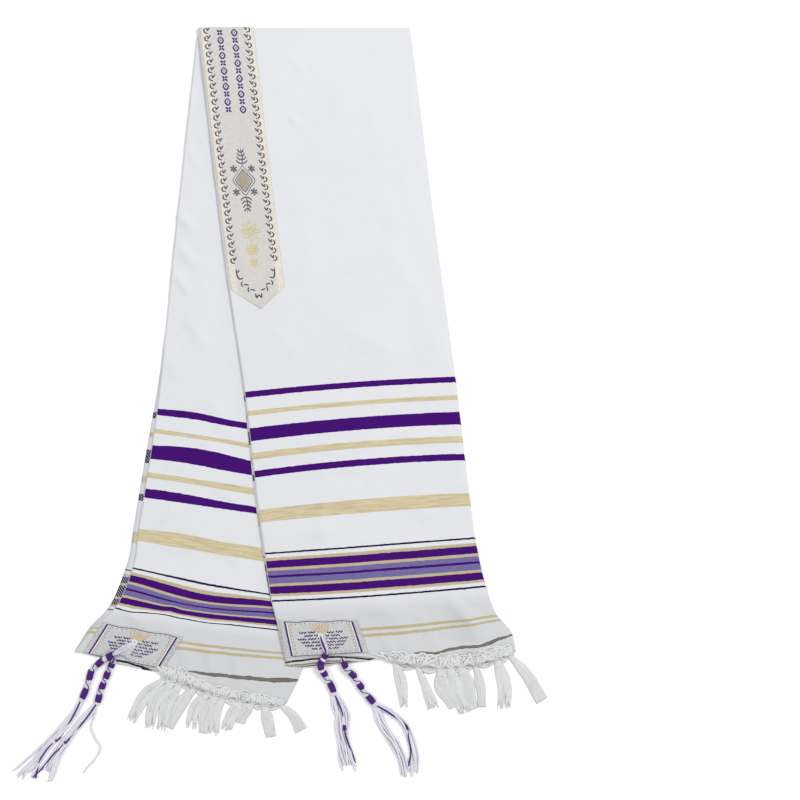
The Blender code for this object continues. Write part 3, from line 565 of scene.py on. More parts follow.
def clothMaterial(name, taupeLine):
    material, n, shader = newMaterial(name, body["white"], body["roughness"])
    where = n.measure()
    x, y = n.split(where)[:2]
    weave = n.use(weaveGroup, Place=where, Threads=1500.0)
    # the stripes' edges wander by part of a thread
    along = n.line(y, 1000.0, n.line(n.noise(where, 160.0, 3.0), 1.5, -0.75))
    across = n.times(x, 1000.0)
    yarns = n.use(stripeGroup, Along=along)
    colour = n.mix(n.noise(where, 9.0, 3.0), body["white"], body["whiteShade"])
    # painted shade: the cloth is darkened beyond the last stripe of the border
    beyond = n.line(along, 1 / body["hemPaintedShadeOver"], -body["hemPaintedShadeFrom"] / body["hemPaintedShadeOver"])
    colour = n.mix(beyond, colour, tint(body["white"], body["hemPaintedShade"]))
    # the under layer's selvage shows each dark stripe as rows of dots
    underEdge = n.above(across, 2 * layers["halfWidth"] - body["selvage"])
    dots = n.times(*(n.sine(n.times(part, math.pi / body["dot"])) for part in (across, along)))
    pale = n.times(underEdge, n.above(dots, 0.50))
    pale = n.higher(pale, n.times(0.75, n.below(across, body["edge"])))
    solid = n.minus(1.0, pale)
    grain = n.noise(where, 900.0, 2.0, 0.6)
    fleck = n.above(n.noise(where, 2200.0, 1.0), 0.53)
    streak = n.noise(n.stretch(where, (1.0, 14.0, 1.0)), 32.0, 4.0, 0.65)
    for kind, yarn in body["colours"].items():
        if len(yarn) == 2:
            speck = n.mix(fleck, *yarn)
        else:
            speck = n.mix(grain, yarn, tint(yarn, 1.35, 0.004))
        if kind == "gold":
            speck = n.mix(n.line(streak, 2.4, -0.95), speck, body["goldStreak"])
        if kind in ("purple", "lavender"):
            speck = n.mix(underEdge, speck, body["underPurple"])
        colour = n.mix(n.times(yarns[kind], solid), colour, speck)
    # the frayed stripe grows and shrinks along its length and has dark edges
    taupeStart, taupeMiddle, taupeHalf = taupeLine
    swell = n.line(n.noise(where, 38.0, 2.0), 2.2, -0.35)
    begins = n.times(n.minus(across, taupeStart), 0.09)
    swell = n.lower(n.times(swell, taupeHalf), n.times(begins, taupeHalf))
    fromMiddle = n.size(n.minus(along, taupeMiddle))
    inStripe = n.times(n.below(fromMiddle, swell), n.below(across, layers["halfWidth"]))
    nearEdge = n.above(n.over(fromMiddle, n.higher(swell, 0.1)), 0.72)
    colour = n.mix(inStripe, colour, n.mix(nearEdge, n.mix(fleck, *body["frayed"]), body["frayedEdge"]))
    gloss = n.line(yarns["gold"], -0.34, body["roughness"])
    n.fill(shader, {
        "Base Color": n.mix(weave["Tone"], colour, (0.55, 0.56, 0.60), "MULTIPLY"),
        "Specular IOR Level": 0.06,
        "Metallic": n.times(yarns["gold"], 0.15),
        "Roughness": n.line(yarns["purple"], -0.12, gloss),
    })
    raised = n.plus(n.plus(yarns["purple"], yarns["gold"]), yarns["lavender"])
    height = n.line(weave["Height"], 0.22, n.times(raised, 0.4))
    height = n.line(n.noise(where, 75.0, 3.0), 2.2, height)
    n.bump(shader, n.line(n.noise(where, 22.0, 2.0), 7.0, height), 0.6, 0.35)
    return material


frontCotton = clothMaterial("stripedCottonFront", body["taupeLine"]["front"])
backCotton = clothMaterial("stripedCottonBack", body["taupeLine"]["back"])

print("scarf: body cloth")
# How finely each sheet is divided, across and down, and where it starts below the top fold
frontGrid = {
    "shares": np.linspace(0, 1, 90),
    "fold": 7, "lower": 22, "rows": 310, "start": foldAxis, "wrap": 12, "lip": 3,
}
backGrid = {
    "shares": np.concatenate([np.linspace(0, 0.74, 78), np.linspace(0.77, 1.0, 8)]),
    "fold": 7, "lower": 26, "rows": 320, "start": foldAxis + 11, "wrap": 0,
}


def armSheet(arm, grid):
    # one arm, from its upper open edge round the lengthwise fold to its lower open edge
    downs = np.linspace(grid["start"], arm["hem"], grid["rows"])[:, None]
    width = place(arm, 1.0, downs)[0] - place(arm, 0.0, downs)[0]
    end = 1 - (layers["foldBulge"] + layers["thick"] / 2) / width
    upper = grid["shares"] * end
    top = layerPoint(arm, upper, downs + 0 * upper)
    peek = smoothCurve(arm["peek"], downs) / width
    lower = end - (end + peek) * np.linspace(0, 1, grid["lower"]) ** 0.8
    nearHem = ease((downs - (arm["hem"] - 45)) / 45)
    under = layerPoint(arm, lower, downs - layers["hemShort"] * nearHem + 0 * lower, False)
    start, stop, reach = arm["lip"]
    t = np.clip((lower - start) / (stop - start), 0, 1)
    lip = (reach + layers["hemShort"]) * np.clip(np.sin(math.pi * t ** 0.75), 0, 1) ** 0.6
    under[..., 1] -= lip * nearHem
    # the lengthwise fold, half a turn between the layers
    turn = np.linspace(math.pi / 2, -math.pi / 2, grid["fold"] + 2)[1:-1]
    radius = (top[:, -1:, 2] - under[:, :1, 2]) / 2
    fold = np.repeat((top[:, -1:] + under[:, :1]) / 2, grid["fold"], axis=1)
    fold[..., 0] += layers["foldBulge"] * np.cos(turn)
    fold[..., 2] += radius * np.sin(turn)
    half, past = layers["halfWidth"], layers["foldHalf"]
    acrossMap = np.concatenate([
        upper / end * (half - past),
        np.tile(np.linspace(half - past, half + past, grid["fold"] + 2)[1:-1], (len(downs), 1)),
        half + past + (end - lower) / (end + peek) * (half - past),
    ], axis=1)
    measure = smoothCurve(arm["pattern"], downs)
    shift = layers["underShift"] * (1 - ease((downs - (arm["hem"] - 80)) / 60))
    belowHem = place(arm, lower, arm["hem"])[1] - under[..., 1] - arm["hemLead"]
    belowHem += 0.5 * np.sin(lower * 31 + 1) + 0.35 * np.sin(lower * 67)
    hemMeasure = arm["pattern"][-1][1]
    downMap = np.concatenate([
        measure + swellField(arm["pulls"], upper, measure),
        measure - shift * np.linspace(0, 1, grid["fold"]),
        np.where(belowHem > -12, hemMeasure + belowHem, measure - shift),
    ], axis=1)
    return np.concatenate([top, fold, under], axis=1), np.stack([acrossMap, downMap], axis=-1)


def wrapOver(points, maps, steps, lipSteps):
    # carries the first row round the top fold and on underneath
    reach = points[0, :, 2] - foldAxis
    rows, rowMaps = [points], [maps]
    for step in range(1, steps + lipSteps + 1):
        share = min(step, steps) / steps
        lip = layers["foldLip"] * max(step - steps, 0) / lipSteps
        row = points[0].copy()
        row[:, 1] = layers["foldY"] - foldAxis + reach * math.sin(math.pi * share) - lip
        row[:, 2] = foldAxis + reach * math.cos(math.pi * share)
        rows.insert(0, [row])
        rowMaps.insert(0, [maps[0] - np.array([0.0, layers["foldTurn"] * share + lip])])
    return np.concatenate(rows), np.concatenate(rowMaps)


def clothSheet(name, arm, grid, material):
    points, maps = armSheet(arm, grid)
    upper = len(grid["shares"])
    for part in (points[:, :upper], points[:, upper:][:, ::-1]):
        restOn(part, layers["thick"])
    if grid["wrap"]:
        points, maps = wrapOver(points, maps, grid["wrap"], grid["lip"])
    return gridPiece(name, points, maps, material, layers["thick"])


frontCloth = clothSheet("frontCloth", frontArm, frontGrid, frontCotton)
backCloth = clothSheet("backCloth", backArm, backGrid, backCotton)
for piece, nodes in ((frontCloth, ["front_stretch"]), (backCloth, ["back_stretch", "hidden_layers"])):
    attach(piece, "root")
    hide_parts(*nodes)


print("scarf: neckband")
neckband = {
    "left": 0.008, "right": 0.262,     # in parts of the arm's width
    "armWidth": 276.0,
    "shoulder": 338.0, "point": 365.0,
    "thick": 0.5,
    "gap": 0.15,
    "satin": (0.555, 0.545, 0.514),
    "border": (0.612, 0.586, 0.518),
    "borderWidth": 9.5,
    "sprigs": 30,
    "sprigInset": 9.3,
    "sprigPitch": 10.25,
    "sprigColour": (0.038, 0.022, 0.060),
    "purple": (0.048, 0.005, 0.150),
    "gold": (0.530, 0.430, 0.230),
    "tan": (0.330, 0.275, 0.205),
    "florets": (11, 9.4, 7.0, 10.0),   # a row: how many, how far aside, the first one down, the pitch
    "emblem": 199.0,                   # how far down the lozenge's middle is
    "goldRosettes": ((265, 13.0, 8), (289, 8.8, 8), (305, 5.6, 6)),     # down, radius and petals
}
bandMiddle = (neckband["left"] + neckband["right"]) / 2
bandHalf = (neckband["right"] - neckband["left"]) / 2 * neckband["armWidth"]


def bandSurface(aside, down, height):
    # a place on the band: aside from its middle line, down from the top fold, off its surface
    aside, down = np.broadcast_arrays(np.asarray(aside, float), np.asarray(down, float))
    flat = layerPoint(frontArm, bandMiddle + aside / neckband["armWidth"], np.maximum(down, foldAxis))
    base = layers["thick"] / 2 + neckband["gap"] + neckband["thick"] / 2 + height
    turn = np.clip((foldAxis - down) / (foldAxis + base), 0, None)
    reach = flat[..., 2] - foldAxis + base
    y = np.where(turn > 0, layers["foldY"] - foldAxis + reach * np.sin(turn), flat[..., 1])
    z = np.where(turn > 0, foldAxis + reach * np.cos(turn), flat[..., 2] + base)
    return np.stack([flat[..., 0], y, z], axis=-1)


def bandMaterial():
    colour, border = neckband["satin"], neckband["border"]
    material, n, shader = newMaterial("bandSatin", colour, 0.48, 0.1)
    where = n.measure()
    floats = n.use(satinGroup, Place=where)
    fromMiddle = n.size(n.times(n.split(where)[0], 1000.0))
    inBorder = n.above(fromMiddle, bandHalf - neckband["borderWidth"])
    speck = n.above(floats["Speck"], 0.62)
    field = n.mix(n.noise(where, 60.0, 3.0), colour, tint(colour, 0.94))
    field = n.mix(n.times(speck, 0.10), field, (1.0, 0.99, 0.95))
    edge = n.mix(speck, border, tint(border, 1.16))
    roughness = n.line(floats["Speck"], 0.2, 0.38)
    n.fill(shader, {"Base Color": n.mix(inBorder, field, edge), "Roughness": roughness})
    n.bump(shader, n.plus(floats["Height"], n.times(floats["Speck"], 0.8)), 0.35, 0.10)
    return material


def yarnMaterial(name, shade, colour, roughness=0.75, turns=260.0, bump=0.35, contrast=1.0):
    # a cord, from painted shade between its fibres, laid in streaks by noise, to the colour on them
    material, n, shader = newMaterial(name, colour, roughness, 0.1)
    twist = n.use(twistGroup, Map=n.measure(), Turns=turns, Fibres=2.0)
    tone = n.line(twist["Tone"], contrast, 0.5 - contrast / 2)
    n.fill(shader, {"Base Color": n.mix(tone, shade, colour)})
    n.bump(shader, twist["Height"], 0.5, bump)
    return material


def threadMaterial(name, colour, roughness=0.6, metallic=0.0):
    # a fine thread with light and dark fibres
    material, n, shader = newMaterial(name, colour, roughness, 0.1)
    twist = n.use(twistGroup, Map=n.measure(), Turns=900.0, Fibres=2.0)
    lighter = n.mix(twist["Tone"], colour, tint(colour, 1.45, 0.02))
    n.fill(shader, {"Metallic": metallic, "Base Color": lighter})
    n.bump(shader, twist["Height"], 0.4, 0.10)
    return material


bandRows = np.concatenate([np.linspace(-4.2, 2.8, 8), np.linspace(5, neckband["shoulder"] - 2, 150)])
asides = np.linspace(-bandHalf, bandHalf, 27)
tipReach = (neckband["point"] - neckband["shoulder"]) * (1 - np.abs(asides) / bandHalf)
tipRows = neckband["shoulder"] + tipReach * np.linspace(0.02, 1, 14)[:, None]
allRows = np.concatenate([np.repeat(bandRows[:, None], len(asides), axis=1), tipRows])
allAsides = np.broadcast_to(asides, allRows.shape)
bandPoints = bandSurface(allAsides, allRows, 0.0)
bandMaps = np.stack([allAsides, allRows], axis=-1)
bandCloth = gridPiece("neckbandCloth", bandPoints, bandMaps, bandMaterial(), neckband["thick"])
restOn(bandPoints, neckband["thick"])
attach(bandCloth, "root")
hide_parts("neckband")


def stroke(
    threads, surface, points, width, slot=0, height=0.16, sides=6, steps=3, turn=0.0, at=(0.0, 0.0), size=1.0
):
    # a thread laid on a surface along a short soft line of points
    c, s = math.cos(turn), math.sin(turn)
    points = np.array(points, float) * size @ np.array([[c, s], [-s, c]]) + np.array(at)
    last = len(points) - 1
    line = curveThrough(np.arange(last + 1), points, np.linspace(0, last, last * steps + 1))
    taper = 0.55 + 0.45 * np.sin(math.pi * np.linspace(0.08, 0.92, len(line)))
    route = surface(line[:, 0], line[:, 1], 0.25 + height * 0.3)
    threads.add(route, width / 2 * taper, height * taper, sides, slot)


def roundLine(half):
    # half of an outline and its other half, turned round
    return half + [(-x, -y) for x, y in half[1:]]


sprigLines = [   # a bent twig with its leaves, about its own middle
    ([(-3.9, -4.0), (-1.7, -0.9), (0.6, 0.9)], 1.5), ([(-0.9, -0.5), (1.1, -3.3)], 1.5),
    ([(2.3, -2.1), (4.0, 0.3), (2.9, 3.1), (-0.6, 4.1)], 1.6),
]
pointLines = [   # the twigs that run together at the band's point: aside and down
    ([(24.6, 312.8), (24.2, 321.0), (21.6, 325.6), (17.1, 324.6)], 1.6),
    ([(20.1, 314.3), (23.7, 317.2)], 1.4),
    ([(18.6, 328.7), (20.4, 332.4), (18.6, 335.4)], 1.4), ([(17.1, 332.6), (10.9, 333.9)], 1.5),
    ([(10.9, 336.2), (12.8, 339.8), (11.6, 342.8)], 1.4), ([(9.9, 339.4), (3.7, 341.0)], 1.5),
    ([(3.9, 344.9), (3.2, 350.2), (0.0, 346.6)], 1.6),
]
floretPetals = [[(0, 0.7), (0, 3.6)], [(0, -0.7), (0, -3.6)], [(0.7, 0), (3.6, 0)], [(-0.7, 0), (-3.6, 0)]]


def rosette(draw, at, radius, petals, slot, width=1.0):
    # petals as closed loops round a middle, in a ring
    loop = [(0, 0.26), (0.17, 0.6), (0.0, 0.98), (-0.17, 0.6), (0, 0.26)]
    for k in range(petals):
        draw(loop, width, slot, turn=2 * math.pi * k / petals, at=at, size=radius, steps=4)
    turns = [2 * math.pi * k / 12 for k in range(13)]
    draw([(math.cos(t) * 0.2, math.sin(t) * 0.2) for t in turns], width, slot, at=at, size=radius, steps=2)


def bandPattern(draw):
    # each stroke names its thread by number: sprig, purple, gold, tan
    inset = bandHalf - neckband["sprigInset"]
    for k in range(neckband["sprigs"]):
        for side in (1, -1):
            spot = side * inset, 2.5 + k * neckband["sprigPitch"] + (1.5 if side < 0 else 0.0)
            for points, width in sprigLines:
                draw([(x * side, y) for x, y in points], width * 1.15, at=spot)
    for side in (-1, 1):
        for points, width in pointLines:
            draw([(side * x, y) for x, y in points], width * 1.2)
    # two rows of florets and diamonds in purple, by turns
    count, aside, first, pitch = neckband["florets"]
    for column in (0, 1):
        for k in range(count):
            spot = aside if column else -aside, first + pitch * k
            if (k + column) % 2:
                draw(roundLine([(0, -3.7), (2.9, 0), (0, 3.7)]), 2.2, 1, at=spot, size=1.2)
                draw([(-0.8, 0), (0.8, 0)], 1.9, 1, at=spot)
            else:
                for petal in floretPetals:
                    draw(petal, 2.7, 1, at=spot, turn=0.78, size=1.2)
    # a lozenge between two leaf sprays and four rosettes
    middle = neckband["emblem"]
    for k in range(-12, 13):
        half = 9.6 * (1 - abs(k) / 13)
        draw([(-half, 0), (half, 0)], 1.15, 3, at=(0, middle + k * 1.05), height=0.1)
    for size in (1.0, 1.32):
        lozenge = roundLine([(0, -14.5), (5.6, -7.2), (10.8, 0), (5.6, 7.2), (0, 14.5)])
        draw(lozenge, 1.2 / size, 0, at=(0, middle), size=size)
    for side in (-1, 1):
        for way in (-1, 1):
            rosette(draw, (side * 11.5, middle + way * 15), 4.6, 6, 0)
    for way in (-1, 1):
        draw([(0, way * 20), (1.2, way * 30), (0, way * 41)], 1.3, 0, at=(0, middle))
        for k in range(4):
            for side in (-1, 1):
                start, reach = way * (22 + 4.8 * k), side * 7.0 * (1 - 0.16 * k)
                leaf = [(0.4, start), (reach * 0.6, start + way * 0.8), (reach, start + way * 4.0)]
                draw(leaf, 1.6, 0, at=(0, middle))
    for down, radius, petals in neckband["goldRosettes"]:
        rosette(draw, (0, down), radius, petals, 2, 1.35)


bandThreads = Threads()
bandPattern(partial(stroke, bandThreads, bandSurface))
bandColours = [
    threadMaterial("sprigThread", neckband["sprigColour"]),
    threadMaterial("purpleThread", neckband["purple"]),
    threadMaterial("goldThread", neckband["gold"], 0.42, 0.35),
    threadMaterial("tanThread", neckband["tan"]),
]
bandMotifs = bandThreads.piece("neckbandMotifs", bandColours)
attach(bandMotifs, "root")


print("scarf: corner patches")
patches = {
    "thick": 0.5,
    "gap": 0.15,
    "satin": (0.450, 0.455, 0.455),
    "cloudy": (0.510, 0.515, 0.510),
    "speck": (0.550, 0.555, 0.570),
    "margin": (0.405, 0.412, 0.422),
    "marginWidth": 6.8,
    # the bars along its sides: distance from the side, half width, colour
    "bars": (
        (7.8, 1.2, (0.036, 0.003, 0.120)),
        (9.9, 0.8, (0.680, 0.675, 0.690)),
        (11.5, 0.7, (0.430, 0.340, 0.190)),
    ),
    "endLine": (1.8, 0.55, (0.045, 0.030, 0.090)),      # and across its ends
    "stitchInset": 1.1,
    "eyeletRadius": 2.7,
    # page places of the corners: top left, top right, bottom right, bottom left
    "front": {
        "corners": [(-2.0, -280.3), (100.6, -278.5), (115.0, -322.6), (8.3, -328.8)],
        "eyelet": (53, -300),
        "pinch": None,
    },
    # its pinch is the fold that the cord draws into it: start, end, half width, height and the drawn-up edge
    "back": {
        "corners": [(-231.0, -282.6), (-125.2, -301.0), (-151.6, -344.4), (-257.2, -323.4)],
        "eyelet": (-189, -308),
        "pinch": ((-190.0, -306.0), (-208.0, -338.0), 5.0, 3.4, 8.0),
    },
    "vineShares": (0.29, 0.24, 0.32, 0.30, 0.26, 0.19),     # how far each row of vines reaches to either side
    "vineFirst": 16.4,
    "vineRow": 4.3,
    "vineStep": 1.9,
    "lampstand": (4.4, 16.5),                               # its top and its foot
}


def patchMaterial(width, height):
    material, n, shader = newMaterial("patchSatin", patches["satin"], 0.5, 0.05)
    where = n.measure()
    floats = n.use(satinGroup, Place=where)
    wander = n.line(n.noise(where, 300.0, 1.0), 0.5, -0.25)
    across, down = (n.line(part, 1000.0, wander) for part in n.split(where)[:2])
    fromSide = n.lower(across, n.minus(width, across))
    fromEnd = n.lower(down, n.minus(height, down))
    colour = n.mix(n.noise(where, 80.0, 3.0), patches["satin"], patches["cloudy"])
    colour = n.mix(n.below(fromSide, patches["marginWidth"]), colour, patches["margin"])
    colour = n.mix(n.above(floats["Speck"], 0.7), colour, patches["speck"])
    inside = n.above(fromEnd, 1.6)
    for middle, half, shade in patches["bars"]:
        colour = n.mix(n.times(inside, n.near(fromSide, middle, half)), colour, shade)
    middle, half, shade = patches["endLine"]
    colour = n.mix(n.times(n.above(fromSide, 7.6), n.near(fromEnd, middle, half)), colour, shade)
    n.fill(shader, {"Base Color": colour, "Roughness": n.line(floats["Speck"], 0.2, 0.42)})
    n.bump(shader, n.plus(floats["Height"], floats["Speck"]), 0.35, 0.10)
    return material


patchThreadColours = [
    threadMaterial("patchGold", (0.470, 0.340, 0.160), 0.45, 0.3),
    threadMaterial("patchPurple", (0.020, 0.006, 0.120)),
    threadMaterial("patchDot", (0.070, 0.050, 0.130)),
    threadMaterial("eyeletThread", (0.660, 0.660, 0.680)),
]


def patchSurface(corners, width, height, pinch):
    # a place on a patch, in its own flat measure; it lies on the cloth under it
    topLeft, topRight, bottomRight, bottomLeft = (np.array(corner) for corner in corners)
    middle = (topLeft + topRight + bottomRight + bottomLeft) / 4

    def surface(across, down, off):
        share = (np.asarray(across, float) / width)[..., None]
        drop = (np.asarray(down, float) / height)[..., None]
        upper = topLeft * (1 - share) + topRight * share
        lower = bottomLeft * (1 - share) + bottomRight * share
        spot = upper * (1 - drop) + lower * drop
        spot[..., 1] += 0.7 * np.sin(share[..., 0] * 17 + 1.0) * (1 - drop[..., 0]) ** 2
        # the higher of the cloth right under it and a little nearer the middle
        level = np.maximum(heightsAt(middle + (spot - middle) * 0.95), heightsAt(spot))
        if pinch:
            start, end, halfWidth, rise, drawn = pinch
            run = np.array(end) - np.array(start)
            along = ((spot - np.array(start)) @ run) / (run @ run)
            offX, offY = spot[..., 0] - start[0], spot[..., 1] - start[1]
            aside = (offY * run[0] - offX * run[1]) / math.hypot(*run)
            level = level + rise * np.exp(-(aside / halfWidth) ** 2) * ease(along / 0.3)
            spot[..., 1] += drawn * np.exp(-(aside / (halfWidth * 1.5)) ** 2) * ease((along - 0.3) / 0.7)
        level = level + patches["gap"] + patches["thick"] / 2 + off
        return np.concatenate([spot, level[..., None]], axis=-1)
    return surface


def lampstand(draw, middle, top, foot):
    # seven branches, joined above the foot
    for reach in (3.9, 7.9, 11.9):
        left = [(-reach, top - 0.4), (-reach, top + 2.2), (-reach * 0.74, top + 2.4 + reach * 0.5)]
        line = left + [(0, top + 2.8 + reach * 0.72)] + [(-x, y) for x, y in left[::-1]]
        draw(line, 1.7, 0, at=(middle, 0), steps=4)
    draw([(0, top - 0.6), (0, foot)], 1.8, 0, at=(middle, 0), steps=6)
    draw([(-3.6, foot), (3.6, foot)], 1.5, 0, at=(middle, 0))


def patchPattern(draw, width, height):
    # each stroke names its thread by number: gold, purple, dot, eyelet
    middle, step = width / 2, patches["vineStep"]
    lampstand(draw, middle, *patches["lampstand"])
    # rows of small leafy vines, with a free place for the cord
    for row, share in enumerate(patches["vineShares"]):
        start = 8.5 if row < 1 else 5.0
        for side in (-1, 1):
            for k in range(int((share * width - start) / step)):
                if (k + row * 2) % 7 != 5:
                    spot = middle + side * (start + step * k), patches["vineFirst"] + patches["vineRow"] * row
                    way = 1 if k % 2 else -1
                    vine = [(-0.95, -0.35 * way), (0.0, 0.0), (0.95, 0.35 * way)]
                    draw(vine, 1.15, 1, at=spot, steps=2, sides=4)
                    draw([(0.0, 0.1), (0.7 * side, 1.55 * way)], 1.6, 1, at=spot, steps=2, sides=4)
    # a dotted line inside the bars
    spots = [(width * (0.15 + 0.70 * k / 12), down) for k in range(13) for down in (4.4, height - 4.6)]
    spots = [spot for spot in spots if abs(spot[0] - middle) > 13 or spot[1] > 10]
    spots += [(across, 6.5 + (height - 13) * k / 8) for k in range(9) for across in (14.2, width - 14.2)]
    for spot in spots:
        draw([(-0.5, 0), (0.5, 0)], 1.3, 2, at=spot, steps=2)


def stitches(draw, line, slot, gap=3.0):
    # short stitches along a line of points
    line = np.array(line, float)
    length = runLength(line)
    for start in np.arange(0.8, length[-1] - gap, gap):
        at = np.array([start, start + gap * 0.65])
        ends = np.column_stack([np.interp(at, length, column) for column in line.T])
        draw(ends, 0.42, slot, height=0.12, sides=4, steps=2)


def cornerPatch(name, node, patch):
    corners = np.array(patch["corners"])
    sides = np.linalg.norm(corners - np.roll(corners, -1, axis=0), axis=1)
    width, height = float(sides[0] + sides[2]) / 2, float(sides[1] + sides[3]) / 2
    surface = patchSurface(corners, width, height, patch["pinch"])
    across, down = np.meshgrid(np.linspace(0, width, 53), np.linspace(0, height, 27))
    points = surface(across, down, 0.0)
    satin = patchMaterial(width, height)
    cloth = gridPiece(name, points, np.stack([across, down], axis=-1), satin, patches["thick"])
    threads = Threads()
    draw = partial(stroke, threads, surface)
    patchPattern(draw, width, height)
    low = patches["stitchInset"]
    right, bottom = width - low, height - low
    stitches(draw, [(low, low), (right, low), (right, bottom), (low, bottom), (low, low)], 3)
    restOn(points, patches["thick"])
    # the eyelet, a worked ring where the cord comes through
    turn = np.linspace(0, 2 * math.pi, 19)
    ring = np.array(patch["eyelet"]) + np.column_stack([np.cos(turn), np.sin(turn)]) * patches["eyeletRadius"]
    threads.add(np.column_stack([ring, heightsAt(ring) + 0.35]), 0.8, 0.45, 6, 3)
    motifs = threads.piece(name + "Motifs", patchThreadColours)
    for piece in (cloth, motifs):
        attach(piece, "root")
    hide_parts(node)


cornerPatch("patchFront", "corner_patch_front", patches["front"])
cornerPatch("patchBack", "corner_patch_back", patches["back"])

# each cord's first colour is painted shade between its fibres, mixed in by noise
whiteCord = yarnMaterial("whiteCord", (0.56, 0.54, 0.635), (0.81, 0.81, 0.85))
purpleCord = yarnMaterial("purpleCord", (0.050, 0.003, 0.140), (0.095, 0.010, 0.235))
fringeYarn = yarnMaterial("fringeYarn", (0.525, 0.535, 0.53), (0.715, 0.725, 0.715), 0.6, 25.0, 0.2, 2.4)


print("scarf: tassels")
white, purple = 0, 1
tassels = {
    "cord": 1.45,
    "winding": 0.85,
    "twistPitch": 4.2,       # of the doubled cords, which have two plies
    "twistRadius": 0.5875,
    "ply": 0.70,
    "steps": 40,             # of the stem, from each bead to the next
    # for each colour by number: the radius it is wound to, the spacing of its turns, and its thickness
    "wound": ((4.1, 2.7, 1.35), (4.6, 1.55, 1.0)),
    "crossing": (4.5, 90.0, 0.75, 0.5),
    "longKnot": 0.75,        # a white knot this long, in beads, has a purple cord across it
    "knot": (21, 28),        # the steps of the loose purple cord that its knot covers
}
# Beads give the route of the wound stem on the page. Windings begin and end by bead, purple and white by
# turns. Brushes are the loose strands: how many, and their route with half its width. Purple is the route
# of the loose purple cord
tasselTable = {
    "tassel_front_upper": {
        "beads": [(53, -301), (57, -312), (60, -321), (57, -329), (53, -337), (54, -343), (58, -350),
                  (62, -357), (66, -364), (69, -371), (71, -377)],
        "windings": [(2.8, 3.5), (3.6, 3.9), (4.0, 5.4), (5.45, 5.8), (5.85, 6.7), (6.8, 7.8),
                     (7.9, 9.5), (9.6, 10.0)],
        "brushes": [
            (8, [(70, -374, 2.0), (75, -389, 7.5), (79, -407, 8.5), (81, -430, 7.0), (86, -455, 7.5),
                 (93, -478, 10.0)]),
        ],
        "purple": [(71, -376), (77, -390), (82, -404), (83, -412), (86, -432), (93, -450), (98, -466)],
    },
    "tassel_front_lower": {
        "beads": [(81, -330), (84, -337), (86, -342), (90, -347), (95, -351), (99, -357), (103, -363),
                  (107, -369), (112, -376), (119, -384), (125, -391)],
        "windings": [(0.5, 1.6), (1.7, 2.6), (2.7, 4.0), (4.1, 5.1), (5.2, 6.3), (6.4, 7.7),
                     (7.8, 9.4), (9.5, 10.0)],
        "brushes": [
            (5, [(123, -388, 1.5), (128, -404, 4.5), (136, -420, 5.0), (148, -438, 5.0), (157, -458, 5.0),
                 (163, -486, 5.0)]),
            (3, [(122, -388, 1.5), (141, -398, 3.5), (157, -411, 4.0), (169, -433, 4.0), (175, -458, 4.0),
                 (176, -484, 3.5)]),
        ],
        "purple": [(124, -390), (143, -401), (158, -412), (162, -416), (168, -436), (170, -452), (167, -470)],
    },
    "tassel_back_upper": {
        "beads": [(-191, -309), (-205, -317), (-215, -323), (-223, -327), (-232, -333), (-239, -339),
                  (-245, -345), (-247, -352), (-249, -359), (-251, -366), (-255, -376), (-259, -385)],
        "windings": [(3.0, 3.9), (4.0, 4.5), (4.6, 5.7), (5.8, 6.6), (6.7, 8.0), (8.1, 9.1),
                     (9.2, 10.6), (10.65, 11.0)],
        "brushes": [
            (8, [(-257, -382, 1.8), (-272, -407, 4.5), (-294, -432, 5.2), (-314, -455, 7.0),
                 (-331, -474, 9.0), (-340, -487, 11.0)]),
        ],
        "purple": [(-259, -384), (-272, -410), (-286, -431), (-304, -449), (-312, -462),
                   (-316, -474), (-318, -486)],
    },
    "tassel_back_lower": {
        "beads": [(-216, -332), (-219, -338), (-221, -343), (-224, -348), (-226, -354), (-229, -361),
                  (-232, -368), (-234, -374), (-236, -382), (-238, -389)],
        "windings": [(0.6, 1.5), (1.6, 2.4), (2.5, 3.8), (3.9, 4.7), (4.8, 6.0), (6.1, 7.0),
                     (7.1, 8.6), (8.7, 9.0)],
        "brushes": [
            (7, [(-237, -386, 1.8), (-250, -403, 4.0), (-264, -419, 5.0), (-283, -443, 5.5),
                 (-298, -466, 7.5), (-308, -487, 9.0)]),
            (1, [(-237, -386, 0.0), (-241, -402, 0.0), (-246, -419, 0.0), (-241, -433, 0.0),
                 (-234, -446, 0.0), (-242, -462, 0.0), (-254, -475, 0.0), (-257, -487, 0.0)]),
        ],
        "purple": [(-238, -388), (-254, -410), (-268, -428), (-276, -436), (-296, -456),
                   (-309, -472), (-322, -485)],
    },
}


def twistedCord(threads, route, slot):
    # a cord laid from two plies that wind round its route
    side, up = sideAndUp(route)
    for ply in (0.0, 0.5):
        turn = 2 * math.pi * (runLength(route) / tassels["twistPitch"] + ply)
        out = side * np.cos(turn)[:, None] + up * np.sin(turn)[:, None]
        threads.add(route + out * tassels["twistRadius"], tassels["ply"], None, 6, slot, up=out)


def windCord(threads, stem, slot, radius, pitch, thickness=1.0, fewest=1.5):
    # turns of cord wound close round a stem
    length = runLength(stem)
    turns = max(length[-1] / pitch, fewest)
    steps = int(turns * 14) + 1
    at = np.linspace(0, length[-1], steps)
    centre = np.column_stack([np.interp(at, length, column) for column in stem.T])
    side, up = sideAndUp(centre)
    turn = np.linspace(0, turns * 2 * math.pi, steps)
    out = side * np.cos(turn)[:, None] + up * np.sin(turn)[:, None] * 0.92
    thread = tassels["winding"] * thickness
    bead = radius * (0.84 + 0.16 * np.sqrt(np.sin(math.pi * np.linspace(0.02, 0.98, steps))))
    threads.add(centre + out * (bead - thread)[:, None], thread, None, 6, slot, up=out)


def drift(dice, t, size, turns, spread=1.0, grow=3):
    # how a strand strays from its lane, more and more from its root
    return size * np.sin(t * math.pi * (turns + spread * dice.random()) + dice.random() * 6) * ease(t * grow)


